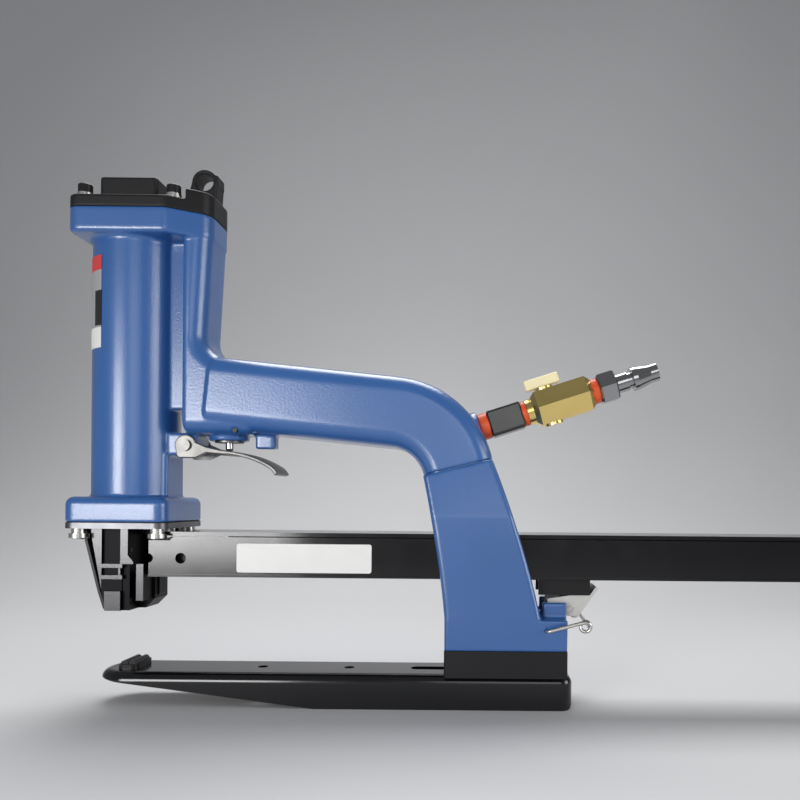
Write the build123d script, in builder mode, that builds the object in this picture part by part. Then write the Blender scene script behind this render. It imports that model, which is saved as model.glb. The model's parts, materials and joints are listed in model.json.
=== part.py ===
from build123d import *
import os
from math import asin, atan2, cos, hypot, pi, radians, sin, sqrt, tan

# Pneumatic carton stapler for box bottoms, in millimetres, +Z up.
# The origin lies on the floor under the middle of the leg's foot. The lower arm runs from there
# to -X, the drive axis of the head stands at x = -reach, and -Y is the side with the label.

os.makedirs("parts", exist_ok=True)

# Fits: fixed seats, running fits, sliding pieces, screw holes
locate_gap = 0.05
run_gap = 0.06
slide_gap = 0.5
screw_gap = 0.3
bury = 1.0
tap_run = 1.0
gasket_inset = 0.5
hex_sides = 6
socket_share = 0.55
socket_depth_share = 0.7
flat_socket_share = 0.8
head_chamfer_share = 0.08

# Main layout
reach = 240.0
arm_height = 21.5
spacer_height = 16.5
spacer_chamfer = 0.8
magazine_z = 81.5
magazine_height = 28.0
rail_gap = 2.0
body_height = 193.1

# Lower arm: a pressed channel, open below
arm_width = 42.0
arm_wall = 3.0
arm_web_t = 6.0
arm_bend_r = 5.5
arm_tip_r = 20.5
arm_heel_r = 8.0
arm_tip_over = 19.0
arm_heel_over = 4.0
arm_heel_toe_r = 4.0
arm_tip_lift = 17.6
arm_flat_length = 161.0
arm_hole_r = 3.25
arm_hole_pitch = 56.0
arm_hole_back = 101.0
arm_slot_length = 49.0
arm_slot_back = 12.0

# Spacer block, leg foot and the bolts that hold them
foot_length = 76.0
foot_width = 58.0
foot_height = 19.5
foot_draft = 1.5
foot_corner_r = 2.3
arm_bolt_pitch = 40.0
arm_bolt_r = 4.0
arm_bolt_head_r = 6.5
arm_bolt_head_h = 8.0
arm_bolt_grip = 16.0
arm_flange_r = 8.0
arm_flange_t = 1.6

# Anvil on the arm tip
anvil_length = 24.0
anvil_width = 13.0
anvil_t = 3.0
anvil_ridge_r = 2.3
anvil_corner_r = 4.3
anvil_ridge_pitch = 5.0
anvil_rivet_r = 2.0
anvil_rivet_pitch = 15.0
anvil_rivet_head_r = 3.6
anvil_rivet_head_t = 1.4

# Head: barrel, base flange and top flange
barrel_r = 26.5
barrel_wall = 3.5
base_width = 63.0
base_flange_t = 15.5
base_corner_r = 7.0
base_edge_r = 5.0
pad_x = 25.0
pad_width = 25.0
head_front = 31.0
head_rear = 53.0
head_width = 60.0
head_slant_x = 29.0
head_corner_r = 7.0
head_rear_r = 11.0
head_lip = 0.4
head_flange_t = 15.5
head_edge_r = 2.6
head_root_r = 2.6
head_root_inset = 0.4

# Rear air block and the web that joins it to the barrel
block_front = 36.0
block_rear = 48.5
block_width = 41.0
block_z = 171.0
block_run = 78.0
block_blend_r = 14.0
block_edge_r = 4.0
block_foot_r = 9.0
web_width = 19.0
web_z = 187.0
air_passage_depth = 6.0
air_passage_wall = 2.5
air_passage_width = 28.0
air_port_width = 12.0
air_port_z = 258.0
air_port_height = 32.0

# Hand grip: rounded tube, sloping down to the bend
grip_z = 202.9
grip_tilt = 5.6
grip_height = 45.0
grip_width = 45.0
grip_corner_r = 11.0
grip_wall = 4.5
grip_root = 40.0
grip_shoulder = 52.0
grip_shoulder_r = 2.0
bend_back = 71.0
bend_r = 46.0
leg_lean = 13.9
grip_end_wall = 11.0
core_hole_r = 9.0

# Leg casting
leg_screw_pitch = 26.0
leg_screw_r = 3.0
leg_screw_grip = 9.0
leg_screw_head_r = 5.0
leg_screw_head_h = 6.0
leg_flange_t = 9.0
leg_pocket = 37.5
leg_pocket_depth = 48.0
leg_top_margin = -0.3
leg_top_width = 45.0
leg_flare_z = 121.0
leg_front_bow = 3.0
leg_rear_bow = 2.2
leg_rear_foot = 16.5
leg_edge_r = 3.0
leg_joint_t = 0.5
window_margin = 0.7

# Latch lug on the foot
lug_length = 15.0
lug_height = 9.5
lug_inner = 26.0
lug_t = 6.0

# Base plate and base screws
gasket_t = 0.5
plate_t = 3.5
base_screw_inset = 7.4
base_screw_r = 3.0
base_screw_depth = 11.0
base_collar_r = 4.3
base_collar_h = 3.2
base_head_r = 5.7
base_head_h = 3.4
base_head_chamfer = 0.8

# Top cap
cap_plate_t = 7.0
cap_boss_front = 16.6
cap_boss_rear = 19.3
cap_boss_width = 36.0
cap_boss_height = 15.5
cap_boss_corner_r = 2.2
cap_boss_edge_r = 1.6
cap_rise = 6.5
cap_rise_x = 39.5
cap_edge_r = 3.0
cap_screw_front = 23.5
cap_screw_rear = 31.4
cap_screw_y = 21.2
cap_screw_r = 2.5
cap_screw_head_r = 4.25
cap_screw_head_h = 5.5
cap_hole_floor = 2.5
cap_spring_washer_r = 4.6
cap_spring_washer_t = 1.5
cap_washer_r = 5.2
cap_washer_t = 1.4
eye_x = 44.7
eye_height = 17.2
eye_r = 5.7
eye_wall = 2.6
eye_shoulder = 4.4
eye_width = 14.0

# Cylinder, piston and driver
sleeve_r = 21.5
sleeve_bore_r = 19.5
sleeve_head_room = 73.1
sleeve_collar = 12.0
port_count = 4
port_r = 2.0
port_margin = 4.0
seal_wire_r = 1.0
bumper_height = 36.0
bumper_chamfer = 1.5
stroke = 50.5
piston_height = 30.0
piston_chamfer = 1.0
piston_seal_share = 0.7
blade_width = 33.5
blade_t = 2.5
blade_tip_gap = 1.0
blade_socket = 16.0
blade_pin_r = 2.4
blade_pin_share = 1.6
blade_pin_drop = 7.0
slot_side_gap = 0.45
slot_face_gap = 0.35

# Head valve in the cap
valve_lift = 6.0
neck_spare = 2.0
valve_skirt = 46.0
valve_skirt_wall = 4.0
valve_neck_r = 10.0
valve_neck_length = 32.0
valve_spring_r = 15.0
valve_spring_wire = 1.8
valve_spring_turns = 6
cap_chamber_r = 19.0
cap_chamber_depth = 3.0

# Trigger, its pin and its valve
trigger_x = 36.6
trigger_z = 164.0
trigger_lug_width = 22.0
trigger_lug_r = 6.0
trigger_cheek_t = 2.2
trigger_eye_r = 6.8
trigger_plate_t = 2.4
trigger_plate_start = 12.0
trigger_plate_mid = 28.0
trigger_plate_turn = 53.0
trigger_plate_tip = 57.6
trigger_start_drop = 2.8
trigger_mid_drop = 4.6
trigger_turn_drop = 12.9
trigger_tip_drop = 18.1
trigger_heel_front = 5.3
trigger_heel_rear = 6.4
trigger_heel_drop = 8.1
trigger_heel_r = 2.6
trigger_notch_x = 13.3
trigger_notch_drop = 4.8
trigger_notch_top = 0.9
trigger_cheek_end = 25.5
trigger_cheek_top = 3.4
trigger_edge_r = 0.9
trigger_pin_r = 2.5
trigger_pin_head_r = 3.6
trigger_pin_head_t = 1.4
stem_x = 60.0
stem_r = 2.5
stem_round_share = 0.6
stem_collar_r = 4.6
stem_collar_t = 2.5
stem_drop = 5.2
valve_body_r = 9.0
valve_body_z = 166.5
valve_body_height = 24.0
valve_lip = 1.0
valve_seal_rise = 11.0
valve_seal_drop = 4.0
valve_guide = 8.0
valve_chamber_r = 6.0
valve_roof_t = 2.5
valve_boss_r = 12.5
stem_spring_wire = 0.9
stem_spring_turns = 5
valve_pin_r = 1.5
valve_pin_wall = 1.0
valve_pin_offset = 9.4
valve_pin_length = 36.0
stop_x = 84.4
stop_length = 13.0
stop_width = 10.0
stop_z = 162.6
stop_corner_r = 2.0
stop_root = 4.0

# Nose: front guide, rear guide, side plates, spring plate
nose_z = 60.5
nose_width = 43.0
nose_front_top = 18.7
nose_front_tip = 8.4
nose_rear_tip = 10.5
nose_body_width = 18.0
nose_side_t = 2.9
nose_panel_t = 0.8
nose_side_front = 11.2
nose_side_rear = 6.1
nose_rib_t = 1.2
nose_tip_rise = 12.0
nose_tip_step = 3.0
nose_rear_rise = 6.0
nose_ledge_rise = 29.0
nose_ledge_pitch = 7.0
nose_ledge_t = 2.4
nose_wedge_x = 9.6
nose_wedge_rise = 5.5
nose_stile_drop = 8.5
nose_bar_x = 10.7
nose_bar_width = 4.3
nose_bar_low = 66.7
nose_bar_high = 89.4
nose_keel_width = 10.0
nose_keel_end = 17.5
nose_keel_h = 15.0
nose_keel_chamfer = 3.0
nose_screw_sink = 1.0
nose_screw_spare = 0.5
nose_screw_r = 1.5
nose_screw_head_r = 2.5
nose_screw_low = 66.5
nose_screw_high = 98.0
plate_screw_r = 1.6
plate_screw_head_r = 3.0
plate_screw_x = 9.0
plate_screw_rear_x = 11.3
plate_screw_rear_y = 5.0
plate_screw_depth = 5.0
spring_plate_t = 1.6
spring_plate_width = 35.0
spring_stand = 6.7
spring_foot = 4.0
spring_bend_stand = 6.8
spring_bend_rise = 11.5
spring_bend_r = 40.0
spring_tip_stand = 3.2
spring_tip_rise = 0.4

# Magazine
magazine_front = 17.0
magazine_length = 487.0
magazine_width = 40.0
magazine_wall = 1.5
magazine_lip = 0.8
screw_head_gap = 0.8
rail_t = 2.5
rail_clear = 0.6
core_width = 28.0
core_wall = 1.5
core_gap = 2.0
core_slot_width = 8.0
core_bridge = 8.0
magazine_hole_r = 3.35
magazine_hole_x = 37.0
magazine_hole_z = 93.0
magazine_notch_r = 2.8
rail_screw_r = 2.0
rail_screw_head_r = 3.8
rail_screw_margin = 1.3
rail_screw_head_x = 24.5
rail_screw_leg_x = -1.0
rail_screw_bite = 3.0
rail_screw_leg_bite = 9.0
rail_pad_r = 4.5
end_cap_t = 3.0
label_length = 84.0
label_height = 18.0
label_corner_r = 1.5
label_t = 0.3
label_start = 72.0
label_lift = 3.0

# Staple pusher
pusher_length = 22.0
pusher_start = 27.0
pusher_wall = 3.2
pusher_skirt = 17.0
pusher_tongue = 6.6
roll_r = 6.5
roll_core_r = 2.5
tongue_wall = 2.0
roll_width = 7.0

# Magazine latch
latch_front = 20.5
latch_length = 32.5
latch_width = 30.0
latch_corner_r = 1.5
latch_web_stand = 4.0
latch_web_run = 5.0
latch_height = 10.0
latch_wall = 2.0
latch_ear_gap = 16.0
latch_pivot_x = 41.0
latch_pivot_z = 62.0
latch_pin_r = 2.0
latch_ear_r = 3.8
latch_nose_run = 14.5
latch_nose_drop = 2.2
latch_toe_drop = 4.0
latch_lever_t = 1.6
latch_web_t = 2.0
bail_x = 25.0
bail_z = 51.0
bail_wire_r = 1.1
bail_length = 23.5
bail_rise = 15.0
bail_bend_r = 2.4
bail_coil_r = 3.0
bail_coil_pitch = 3.1
bail_quarters = 5
bail_seat = 5.5

# Air inlet: coupling, ball valve and plug on one tilted axis
inlet_turn = 31.9
inlet_stand = 3.75
inlet_tilt = 18.2
inlet_boss_r = 11.0
seal_one_t = 6.4
seal_one_r = 8.6
seal_two_t = 3.6
seal_three_t = 4.6
seal_r = 8.2
seal_edge_r = 0.8
pipe_r = 6.6
pipe_bite = 9.5
valve_bite = 6.2
air_bore_r = 4.2
coupling_length = 22.0
coupling_side = 17.4
coupling_corner_r = 2.0
coupling_chamfer = 0.8
valve_af = 22.3
valve_length = 44.0
valve_throat_length = 4.0
valve_throat_r = 8.3
valve_chamfer = 3.0
valve_stem_at = 14.7
ball_r = 7.6
stem_key = 1.8
ball_seat_t = 1.8
ball_seat_r = 8.0
ball_seat_bore_r = 5.2
ball_gap = 0.3
ball_stem_r = 3.0
gland_r = 6.0
gland_t = 1.5
lever_length = 23.0
lever_height = 6.6
lever_width = 8.0
lever_corner_r = 1.5
lever_chamfer = 0.6
lever_gap = 0.4
plug_af = 18.8
plug_chamfer = 0.9
plug_hex_length = 11.5
plug_neck_r = 6.2
plug_neck_length = 8.0
plug_groove_r = 5.3
plug_groove_length = 3.2
plug_collar_r = 7.8
plug_collar_length = 3.0
plug_tip_r = 6.0
plug_tip_length = 9.0
plug_end_length = 5.0
plug_bore_r = 3.6

# Bare label on the barrel front
barrel_label_drop = 12.4
barrel_label_height = 57.4
barrel_label_half_angle = 64.0

# Levels and places that follow from the layout
head_x = -reach
leg_z = arm_height + spacer_height
spacer_width = foot_width - 2 * foot_draft
magazine_top = magazine_z + magazine_height
plate_z = magazine_top + rail_gap
base_z = plate_z + plate_t + gasket_t
seam_z = base_z + body_height
cap_z = seam_z + gasket_t
cap_top = cap_z + cap_plate_t
bore_r = barrel_r - barrel_wall
arm_tip = head_x - arm_tip_over
arm_heel = foot_length / 2 + arm_heel_over
arm_center = (arm_tip + arm_heel) / 2
arm_length = arm_heel - arm_tip
rail_z = magazine_top - rail_t
channel_top = rail_z - rail_clear
channel_floor = magazine_z + magazine_wall
core_top = channel_top - core_gap
magazine_x = head_x + magazine_front
magazine_end = magazine_x + magazine_length
piston_z = base_z - gasket_t + bumper_height + stroke + locate_gap
sleeve_z = base_z - gasket_t
sleeve_length = body_height - sleeve_head_room
sleeve_top = sleeve_z + sleeve_length
blade_tip = plate_z - blade_tip_gap
slot_length = blade_width + 2 * slot_side_gap
slot_width = blade_t + 2 * slot_face_gap
base_screw_x = base_width / 2 - base_screw_inset
base_screw_y = base_width / 2 - base_screw_inset
notch_end = base_screw_x + base_head_r + screw_head_gap
notch_y = base_screw_y - base_head_r - screw_head_gap
notch_z = plate_z - base_collar_h - base_head_h - screw_head_gap
rail_screw_y = notch_y - rail_screw_head_r - rail_screw_margin
flange_z = seam_z - head_flange_t
nose_half = nose_width / 2
nose_screw_y = nose_half - nose_screw_head_r - screw_gap
barrel_label_z = flange_z - barrel_label_drop - barrel_label_height

head = Plane((head_x, 0, 0))
head_side = Plane((head_x, 0, 0), x_dir=(1, 0, 0), z_dir=(0, -1, 0))
corner_signs = [(1, 1), (1, -1), (-1, 1), (-1, -1)]

# Grip line: straight run, then an arc that ends square to the leg
tilt = radians(grip_tilt)
lean = radians(leg_lean)
bend_start = (-bend_back, grip_z - (reach - bend_back) * tan(tilt))
bend_center = (bend_start[0] - bend_r * sin(tilt), bend_start[1] - bend_r * cos(tilt))
bend_mid_angle = (pi / 2 - tilt + lean) / 2


def on_bend(radius, angle):
    """Point at a radius and an angle about the bend's centre, in the XZ plane."""
    return (bend_center[0] + radius * cos(angle), bend_center[1] + radius * sin(angle))


bend_end = on_bend(bend_r, lean)
joint_plane = Plane(
    (bend_end[0], 0, bend_end[1]),
    x_dir=(cos(lean), 0, sin(lean)),
    z_dir=(-sin(lean), 0, cos(lean)),
)
leg_plane = joint_plane.offset(-leg_joint_t)

inlet_origin = on_bend(bend_r + grip_height / 2 + inlet_stand, radians(inlet_turn))
inlet_dir = (cos(radians(inlet_tilt)), 0, sin(radians(inlet_tilt)))
inlet = Plane((inlet_origin[0], 0, inlet_origin[1]), x_dir=(0, 1, 0), z_dir=inlet_dir)


def grip_top(x):
    """Height of the grip's top line, at x from the drive axis."""
    return grip_z - x * tan(tilt) + grip_height / 2 / cos(tilt)


def cap_screw(shank_r, shank_length, head_r, head_h):
    """Socket head screw along Z, with its bearing face at z = 0 and its shank below."""
    socket_r = head_r * socket_share
    with BuildPart() as screw:
        Cylinder(head_r, head_h, align=(Align.CENTER, Align.CENTER, Align.MIN))
        chamfer(screw.edges().sort_by(Axis.Z)[-1], head_h * head_chamfer_share)
        Cylinder(shank_r, shank_length, align=(Align.CENTER, Align.CENTER, Align.MAX))
        with BuildSketch(Plane.XY.offset(head_h)):
            RegularPolygon(socket_r, hex_sides)
        extrude(amount=-head_h / 2, mode=Mode.SUBTRACT)
    return screw.part


def flat_screw(shank_r, shank_length, head_r):
    """Countersunk screw along Z, with its head's flat face at z = 0 and its shank below."""
    cone = head_r - shank_r
    with BuildPart() as screw:
        Cone(shank_r, head_r, cone, align=(Align.CENTER, Align.CENTER, Align.MAX))
        with Locations((0, 0, -cone)):
            Cylinder(shank_r, shank_length - cone, align=(Align.CENTER, Align.CENTER, Align.MAX))
        with BuildSketch():
            RegularPolygon(shank_r * flat_socket_share, hex_sides)
        extrude(amount=-cone * socket_depth_share, mode=Mode.SUBTRACT)
    return screw.part


def ring(inner_r, outer_r, thickness):
    """Flat ring on the XY plane."""
    with BuildPart() as flat_ring:
        with BuildSketch():
            Circle(outer_r)
            Circle(inner_r, mode=Mode.SUBTRACT)
        extrude(amount=thickness)
    return flat_ring.part


def biarc_edges(points, tangents):
    """Two tangent arcs, or one line, between each point and the next, with no kinks."""
    edges = []
    stops = list(zip(points, tangents))
    for (start, leaving), (end, arriving) in zip(stops, stops[1:]):
        start, end = Vector(*start), Vector(*end)
        leaving, arriving = Vector(*leaving).normalized(), Vector(*arriving).normalized()
        chord = end - start
        if leaving.cross(chord.normalized()).length < 1e-6 and (leaving - arriving).length < 1e-6:
            edges.append(Edge.make_line(start, end))
            continue
        spread = 2 * (1 - leaving.dot(arriving))
        along = chord.dot(leaving + arriving)
        if spread < 1e-6:
            reach_out = chord.dot(chord) / (4 * chord.dot(arriving))
        else:
            reach_out = (sqrt(along * along + spread * chord.dot(chord)) - along) / spread
        middle = (start + end + (leaving - arriving) * reach_out) * 0.5
        turn = (end - arriving * reach_out) - (start + leaving * reach_out)
        edges.append(Edge.make_tangent_arc(start, leaving, middle))
        edges.append(Edge.make_tangent_arc(middle, turn, end))
    return edges


def self_gap(path, wire_d):
    """Least gap between stretches of one wire that pass each other, measured on points of its path."""
    count = 240
    step = path.length / count
    points = [path.position_at(index / count) for index in range(count + 1)]
    apart = int(3 * wire_d / step) + 1
    nearest = min(
        (points[first] - points[second]).length
        for first in range(count + 1)
        for second in range(first + apart, count + 1)
    )
    return round(nearest - wire_d, 2)


def coil_spring(mean_r, wire_d, height, turns):
    """Compression spring along Z from z = 0, one unbroken wire with open ends."""
    rise = (height - wire_d) / turns
    points, tangents = [], []
    for quarter in range(4 * turns + 1):
        angle = quarter * pi / 2
        points.append((mean_r * cos(angle), mean_r * sin(angle), wire_d / 2 + rise * quarter / 4))
        tangents.append((-sin(angle), cos(angle), rise / (2 * pi * mean_r)))
    path = Wire(biarc_edges(points, tangents))
    with BuildPart() as spring:
        with BuildSketch(Plane(points[0], x_dir=(1, 0, 0), z_dir=tangents[0])):
            Circle(wire_d / 2)
        sweep(path=path)
    print("spring gap between turns:", self_gap(path, wire_d), "mm")
    return spring.part


def base_flange_form():
    """Square base flange of the barrel with its rounded upper edge."""
    with BuildPart() as form:
        with BuildSketch(head.offset(base_z)):
            RectangleRounded(base_width, base_width, base_corner_r)
        extrude(amount=base_flange_t)
        fillet(form.faces().sort_by(Axis.Z)[-1].edges(), base_edge_r)
    return form.part


def head_outline():
    """Outline that the top flange, its gasket and the cap share, about the drive axis.

    Its slanted sides run into rear corners that lie over those of the block below.
    """
    half = head_width / 2
    corner_x = head_rear - head_rear_r - head_slant_x
    corner_y = half - block_width / 2 - head_lip + head_rear_r
    slant = atan2(corner_y, corner_x) - asin(head_rear_r / hypot(corner_x, corner_y))
    rear_half = half - tan(slant) * (head_rear - head_slant_x)
    with BuildSketch() as outline:
        with BuildLine():
            Polyline(
                (-head_front, -half),
                (head_slant_x, -half),
                (head_rear, -rear_half),
                (head_rear, rear_half),
                (head_slant_x, half),
                (-head_front, half),
                close=True,
            )
        make_face()
        fillet(outline.vertices().filter_by_position(Axis.X, -head_front, head_slant_x), head_corner_r)
        fillet(outline.vertices().group_by(Axis.X)[-1], head_rear_r)
    return outline.sketch


def head_flange_form():
    """Top flange of the body casting, with its rounded lower edge."""
    with BuildPart() as form:
        with BuildSketch(head.offset(flange_z)):
            add(head_outline())
        extrude(amount=head_flange_t)
        fillet(form.faces().sort_by(Axis.Z)[0].edges(), head_edge_r)
    return form.part


def head_root_form():
    """Cast fillet between the barrel and the underside of the top flange, kept inside the flange."""
    root_half = head_width / 2 - head_root_inset
    with BuildPart() as form:
        with BuildSketch(head_side):
            with Locations((barrel_r - barrel_wall / 2, flange_z)):
                Rectangle(
                    barrel_wall / 2 + head_root_r, head_root_r, align=(Align.MIN, Align.MAX)
                )
            with Locations((barrel_r + head_root_r, flange_z - head_root_r)):
                Circle(head_root_r, mode=Mode.SUBTRACT)
        revolve(axis=Axis((head_x, 0, 0), (0, 0, 1)))
        with BuildSketch(head.offset(flange_z - head_root_r)):
            Rectangle(2 * root_half, 2 * root_half)
        extrude(amount=head_root_r, mode=Mode.INTERSECT)
        with BuildSketch(head.offset(flange_z)):
            Circle(barrel_r)
        extrude(amount=head_flange_t / 2)
    return form.part


def rear_block_form():
    """Rear air block: a tall box behind the barrel that blends into the grip's root."""
    block_top = seam_z - head_flange_t / 2
    inner_corner = (block_rear, grip_top(block_rear))
    with BuildPart() as form:
        with BuildSketch(head_side) as profile:
            with BuildLine():
                Polyline(
                    (block_front, block_z),
                    (block_run, block_z),
                    (block_run, grip_top(block_run)),
                    inner_corner,
                    (head_rear - head_lip, block_top),
                    (block_front, block_top),
                    close=True,
                )
            make_face()
            fillet(profile.vertices().sort_by_distance(inner_corner)[0], block_blend_r)
        extrude(amount=block_width / 2, both=True)
        rear_line = form.faces().filter_by(Axis.Y).edges().filter_by(
            lambda edge: grip_top(block_run) < edge.center().Z < block_top - block_edge_r
            and edge.center().X > head_x + block_front + block_edge_r
        )
        fillet(rear_line, head_rear_r - head_lip)
        foot_line = form.faces().filter_by(Axis.Y).edges().filter_by(
            lambda edge: edge.center().Z < block_z + locate_gap
        )
        fillet(foot_line, block_foot_r)
        front_line = form.faces().filter_by(Axis.Y).edges().filter_by(
            lambda edge: edge.center().X < head_x + block_front + locate_gap
        )
        fillet(front_line, block_edge_r)
    return form.part


def grip_form(width, height, corner_r, start, end_short=0.0, shoulder_r=0.0):
    """Rounded tube along the grip line, from start behind the drive axis to the bend's end."""
    root = (head_x + start, grip_z - start * tan(tilt))
    end_angle = lean + end_short / bend_r
    with BuildPart() as form:
        with BuildLine(Plane.XZ):
            Line(root, bend_start)
            ThreePointArc(bend_start, on_bend(bend_r, bend_mid_angle), on_bend(bend_r, end_angle))
        section = Plane((root[0], 0, root[1]), x_dir=(0, 1, 0), z_dir=(cos(tilt), 0, -sin(tilt)))
        with BuildSketch(section):
            RectangleRounded(width, height, corner_r)
        sweep()
        if shoulder_r:
            fillet(form.faces().sort_by(Axis.X)[0].edges(), shoulder_r)
    return form.part


def arm_form(inset):
    """Outer form of the lower arm, or its hollow when inset by the wall."""
    tip, heel = arm_tip + inset, arm_heel - inset
    half, floor = arm_width / 2 - inset, -arm_wall if inset else 0.0
    with BuildPart() as form:
        with BuildSketch(Plane.XY.offset(floor)) as plan:
            with Locations(((tip + heel) / 2, 0)):
                Rectangle(heel - tip, 2 * half)
            fillet(plan.vertices().group_by(Axis.X)[0], arm_tip_r - inset)
            fillet(plan.vertices().group_by(Axis.X)[-1], arm_heel_r - inset)
        extrude(amount=arm_height - inset - floor)
        fillet(form.faces().sort_by(Axis.Z)[-1].edges(), arm_bend_r - inset)
    return form.part


# Lower arm
arm_outer = arm_form(0.0)
arm_hollow = arm_form(arm_wall)
arm_hole_x = -arm_hole_back - arm_hole_pitch / 2
with BuildPart() as lower_arm:
    add(arm_outer)
    add(arm_hollow, mode=Mode.SUBTRACT)
    # Web across the channel under the leg
    with BuildSketch(Plane.XY):
        Rectangle(arm_web_t, arm_width - arm_wall)
    extrude(amount=arm_height - arm_wall / 2)
    with Locations((arm_hole_x, 0, arm_height)):
        with GridLocations(arm_hole_pitch, 1, 2, 1):
            Hole(arm_hole_r, depth=2 * arm_wall)
    with BuildSketch(Plane.XY.offset(arm_height)):
        with Locations((-arm_slot_back - arm_slot_length / 2, 0)):
            SlotOverall(arm_slot_length, 2 * (arm_bolt_r + screw_gap))
        with Locations((arm_bolt_pitch / 2, 0)):
            Circle(arm_bolt_r + screw_gap)
        with Locations((head_x, 0)):
            with GridLocations(1, anvil_rivet_pitch, 1, 2):
                Circle(anvil_rivet_r + screw_gap)
    extrude(amount=-2 * arm_wall, mode=Mode.SUBTRACT)
    with BuildSketch(Plane.XZ) as heel_outline:
        with Locations((arm_heel, 0)):
            Rectangle(arm_length, arm_height, align=(Align.MAX, Align.MIN))
        fillet(heel_outline.vertices().sort_by_distance((arm_heel, 0))[0], arm_heel_toe_r)
        with BuildLine():
            Polyline(
                (arm_heel - arm_flat_length, 0),
                (arm_tip, arm_tip_lift),
                (arm_tip, 0),
                close=True,
            )
        make_face(mode=Mode.SUBTRACT)
    extrude(amount=arm_width, both=True, mode=Mode.INTERSECT)

# Spacer block between arm and leg
with BuildPart() as spacer_block:
    with BuildSketch(Plane.XY.offset(arm_height)):
        Rectangle(foot_length, spacer_width)
        with GridLocations(arm_bolt_pitch, 1, 2, 1):
            Circle(arm_bolt_r + screw_gap, mode=Mode.SUBTRACT)
    extrude(amount=spacer_height)
    chamfer(spacer_block.edges().filter_by(Axis.Z).filter_by(GeomType.LINE), spacer_chamfer)

# Flange bolts inside the arm's hollow
arm_bolt_z = arm_height - arm_wall - arm_flange_t
arm_bolt_length = arm_flange_t + arm_wall + spacer_height + arm_bolt_grip
arm_bolt = cap_screw(arm_bolt_r, arm_bolt_length, arm_bolt_head_r, arm_bolt_head_h)
with BuildPart() as arm_bolts:
    with Locations(Location((0, 0, arm_bolt_z), (180, 0, 0))):
        with GridLocations(arm_bolt_pitch, 1, 2, 1):
            add(arm_bolt)
    with BuildSketch(Plane.XY.offset(arm_bolt_z)):
        with GridLocations(arm_bolt_pitch, 1, 2, 1):
            Circle(arm_flange_r)
    extrude(amount=arm_flange_t)

# Anvil: a plate with two rounded ridges that curl the staple legs, riveted through the arm
anvil_z = arm_height + anvil_t
rivet_z = arm_height - arm_wall
with BuildPart() as anvil:
    with BuildSketch(head.offset(arm_height)):
        RectangleRounded(anvil_width, anvil_length, anvil_corner_r)
    extrude(amount=anvil_t)
    with BuildSketch(head_side):
        with Locations((0, anvil_z)):
            with GridLocations(anvil_ridge_pitch, 1, 2, 1):
                Circle(anvil_ridge_r)
        with Locations((0, anvil_z)):
            Rectangle(anvil_width, 2 * anvil_ridge_r, align=(Align.CENTER, Align.MAX), mode=Mode.SUBTRACT)
    extrude(amount=anvil_length / 2 - anvil_ridge_r, both=True)
    with BuildSketch(head.offset(arm_height)):
        with GridLocations(1, anvil_rivet_pitch, 1, 2):
            Circle(anvil_rivet_r)
    extrude(amount=-arm_wall)
    with BuildSketch(head.offset(rivet_z)):
        with GridLocations(1, anvil_rivet_pitch, 1, 2):
            Circle(anvil_rivet_head_r)
    extrude(amount=-anvil_rivet_head_t)
    chamfer(anvil.faces().sort_by(Axis.Z)[:2].edges(), anvil_rivet_head_t / 2)

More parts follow.
